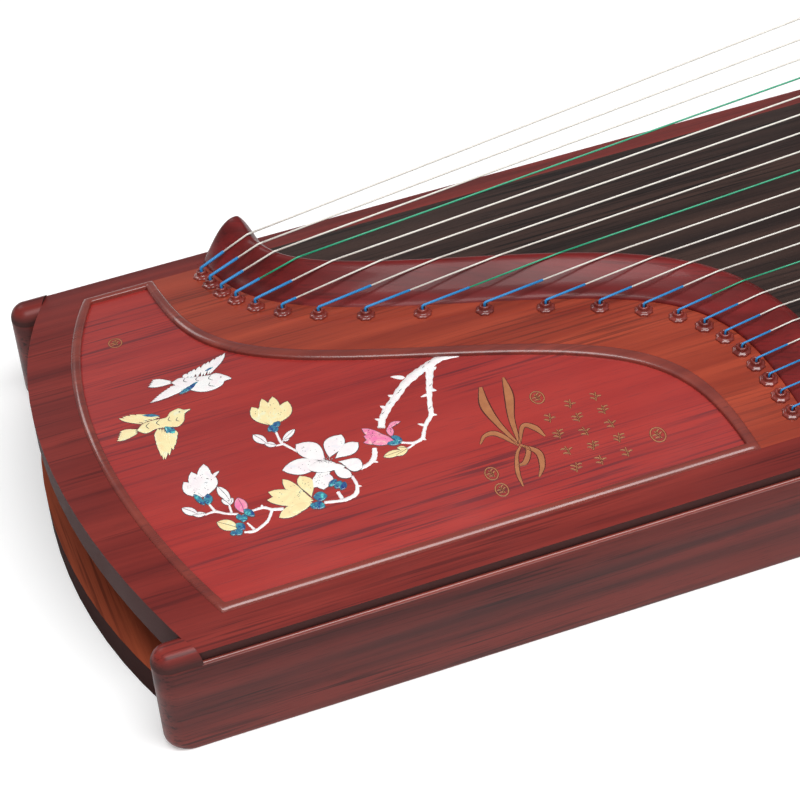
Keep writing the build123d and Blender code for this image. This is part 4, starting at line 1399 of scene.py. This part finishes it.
orchid = (
    ((246, -98, 1.2), (249, -78, 3.0), (254.6, -60, 4.6), (257.2, -44.6, 1.0)),
    ((246, -98, 1.0), (253, -86, 2.4), (259, -90, 3.2), (262, -98, 0.8)),
    ((245, -98, 1.2), (240, -78, 3.2), (238.4, -62, 5.0), (241.6, -47, 1.6)),
    ((245, -99, 1.0), (236.4, -86, 3.0), (229.4, -85, 2.0), (224.6, -90, 0.6)),
    ((246, -99, 1.2), (249, -104, 2.2), (244, -112, 2.6), (239, -113, 0.8)),
    ((247, -100, 1.2), (253.6, -108, 3.2), (252, -118, 2.6), (247.2, -125, 0.6)),
    ((245.6, -100, 1.0), (241, -106, 1.6), (236.8, -118, 2.0), (236, -128, 0.5)),
)
for places in orchid:
    cut(places)
for column, low in ((270, -126), (285.4, -126), (301.8, -126)):
    top = -86 if column < 280 else -80
    count = 4 if column < 280 else 5
    for k in range(count):
        sprig(column, top + (low - top) * k / (count - 1), 3.6, 12 * (k % 3 - 1) - 6, 3 + k % 2)
for x, y, size in ((269.5, -67.9, 5.0), (323.9, -120.6, 5.4), (222.4, -113, 4.6), (223.6, -126, 4.6),
    (52, 91, 5.0)):
    ring = [(x + size * 0.8 * math.cos(a), y + size * math.sin(a), 0.5) for a in np.linspace(0,
        2 * math.pi, 17)]
    cut(ring)
    sprig(x, y, size * 0.62, 20, 4)
carving.make("carved_ornament", shell_finishes, "shell_inlay")
print("carving faces:", len(carving.faces))

# %% [markdown]
# ## Floor and light
# The instrument stands on a plain pale floor, which glows a little so that it stays white.  A soft
# light behind gives the lacquer its pale sheen, a wide one high on the player's side lights the top,
# and a weak one fills the tail end from the same side.

# %% Set the stage
floor_glow = 0.3
room_glow = 0.22


def make_stage_finish(name, shade):
    """Matt finish with a barely visible unevenness."""
    material = bpy.data.materials.new(name)
    material.use_nodes = True
    tree = material.node_tree
    shader = tree.nodes["Principled BSDF"]
    noise = add(tree, "ShaderNodeTexNoise", {"Scale": 3.0}).outputs["Fac"]
    tree.links.new(mix(tree, noise, (*[shade] * 3, 1), (*[shade * 0.98] * 3, 1)),
        shader.inputs["Base Color"])
    shader.inputs["Roughness"].default_value = 0.9
    shader.inputs["Specular IOR Level"].default_value = 0.1
    shader.inputs["Emission Color"].default_value = (1, 1, 1, 1)
    shader.inputs["Emission Strength"].default_value = floor_glow
    return material


floor_half = 12.0
floor_corners = [
    (-floor_half, -floor_half, 0),
    (floor_half, -floor_half, 0),
    (floor_half, floor_half, 0),
    (-floor_half, floor_half, 0),
]
floor_mesh = bpy.data.meshes.new("floor")
floor_mesh.from_pydata(floor_corners, [], [(0, 1, 2, 3)])
floor_mesh.materials.append(make_stage_finish("floor_paper", 0.86))
floor = bpy.data.objects.new("floor", floor_mesh)
scene.collection.objects.link(floor)


def soft_light(name, place, target, size, power):
    """Rectangular area light aimed at a point; lengths in metres and power in watts."""
    light = bpy.data.lights.new(name, "AREA")
    light.shape = "RECTANGLE"
    light.size, light.size_y = size
    light.energy = power
    made = bpy.data.objects.new(name, light)
    made.location = place
    made.rotation_euler = (Vector(target) - Vector(place)).to_track_quat("-Z", "Y").to_euler()
    scene.collection.objects.link(made)
    return made


soft_light("back_light", (-1.3, 2.2, 1.7), (-0.8, 0, 0.08), (1.0, 0.7), 8)
soft_light("top_light", (-0.3, -0.9, 2.4), (-0.3, 0, 0), (2.4, 1.4), 66)
soft_light("front_fill", (-2.0, -2.4, 1.8), (-0.6, 0, 0.05), (1.6, 1.6), 9)
world = bpy.data.worlds.new("room")
scene.world = world
world.use_nodes = True
background = world.node_tree.nodes["Background"]
background.inputs["Color"].default_value = (1, 1, 1, 1)
background.inputs["Strength"].default_value = room_glow
scene.view_settings.view_transform = "Standard"
print("lights:", len(bpy.data.lights))
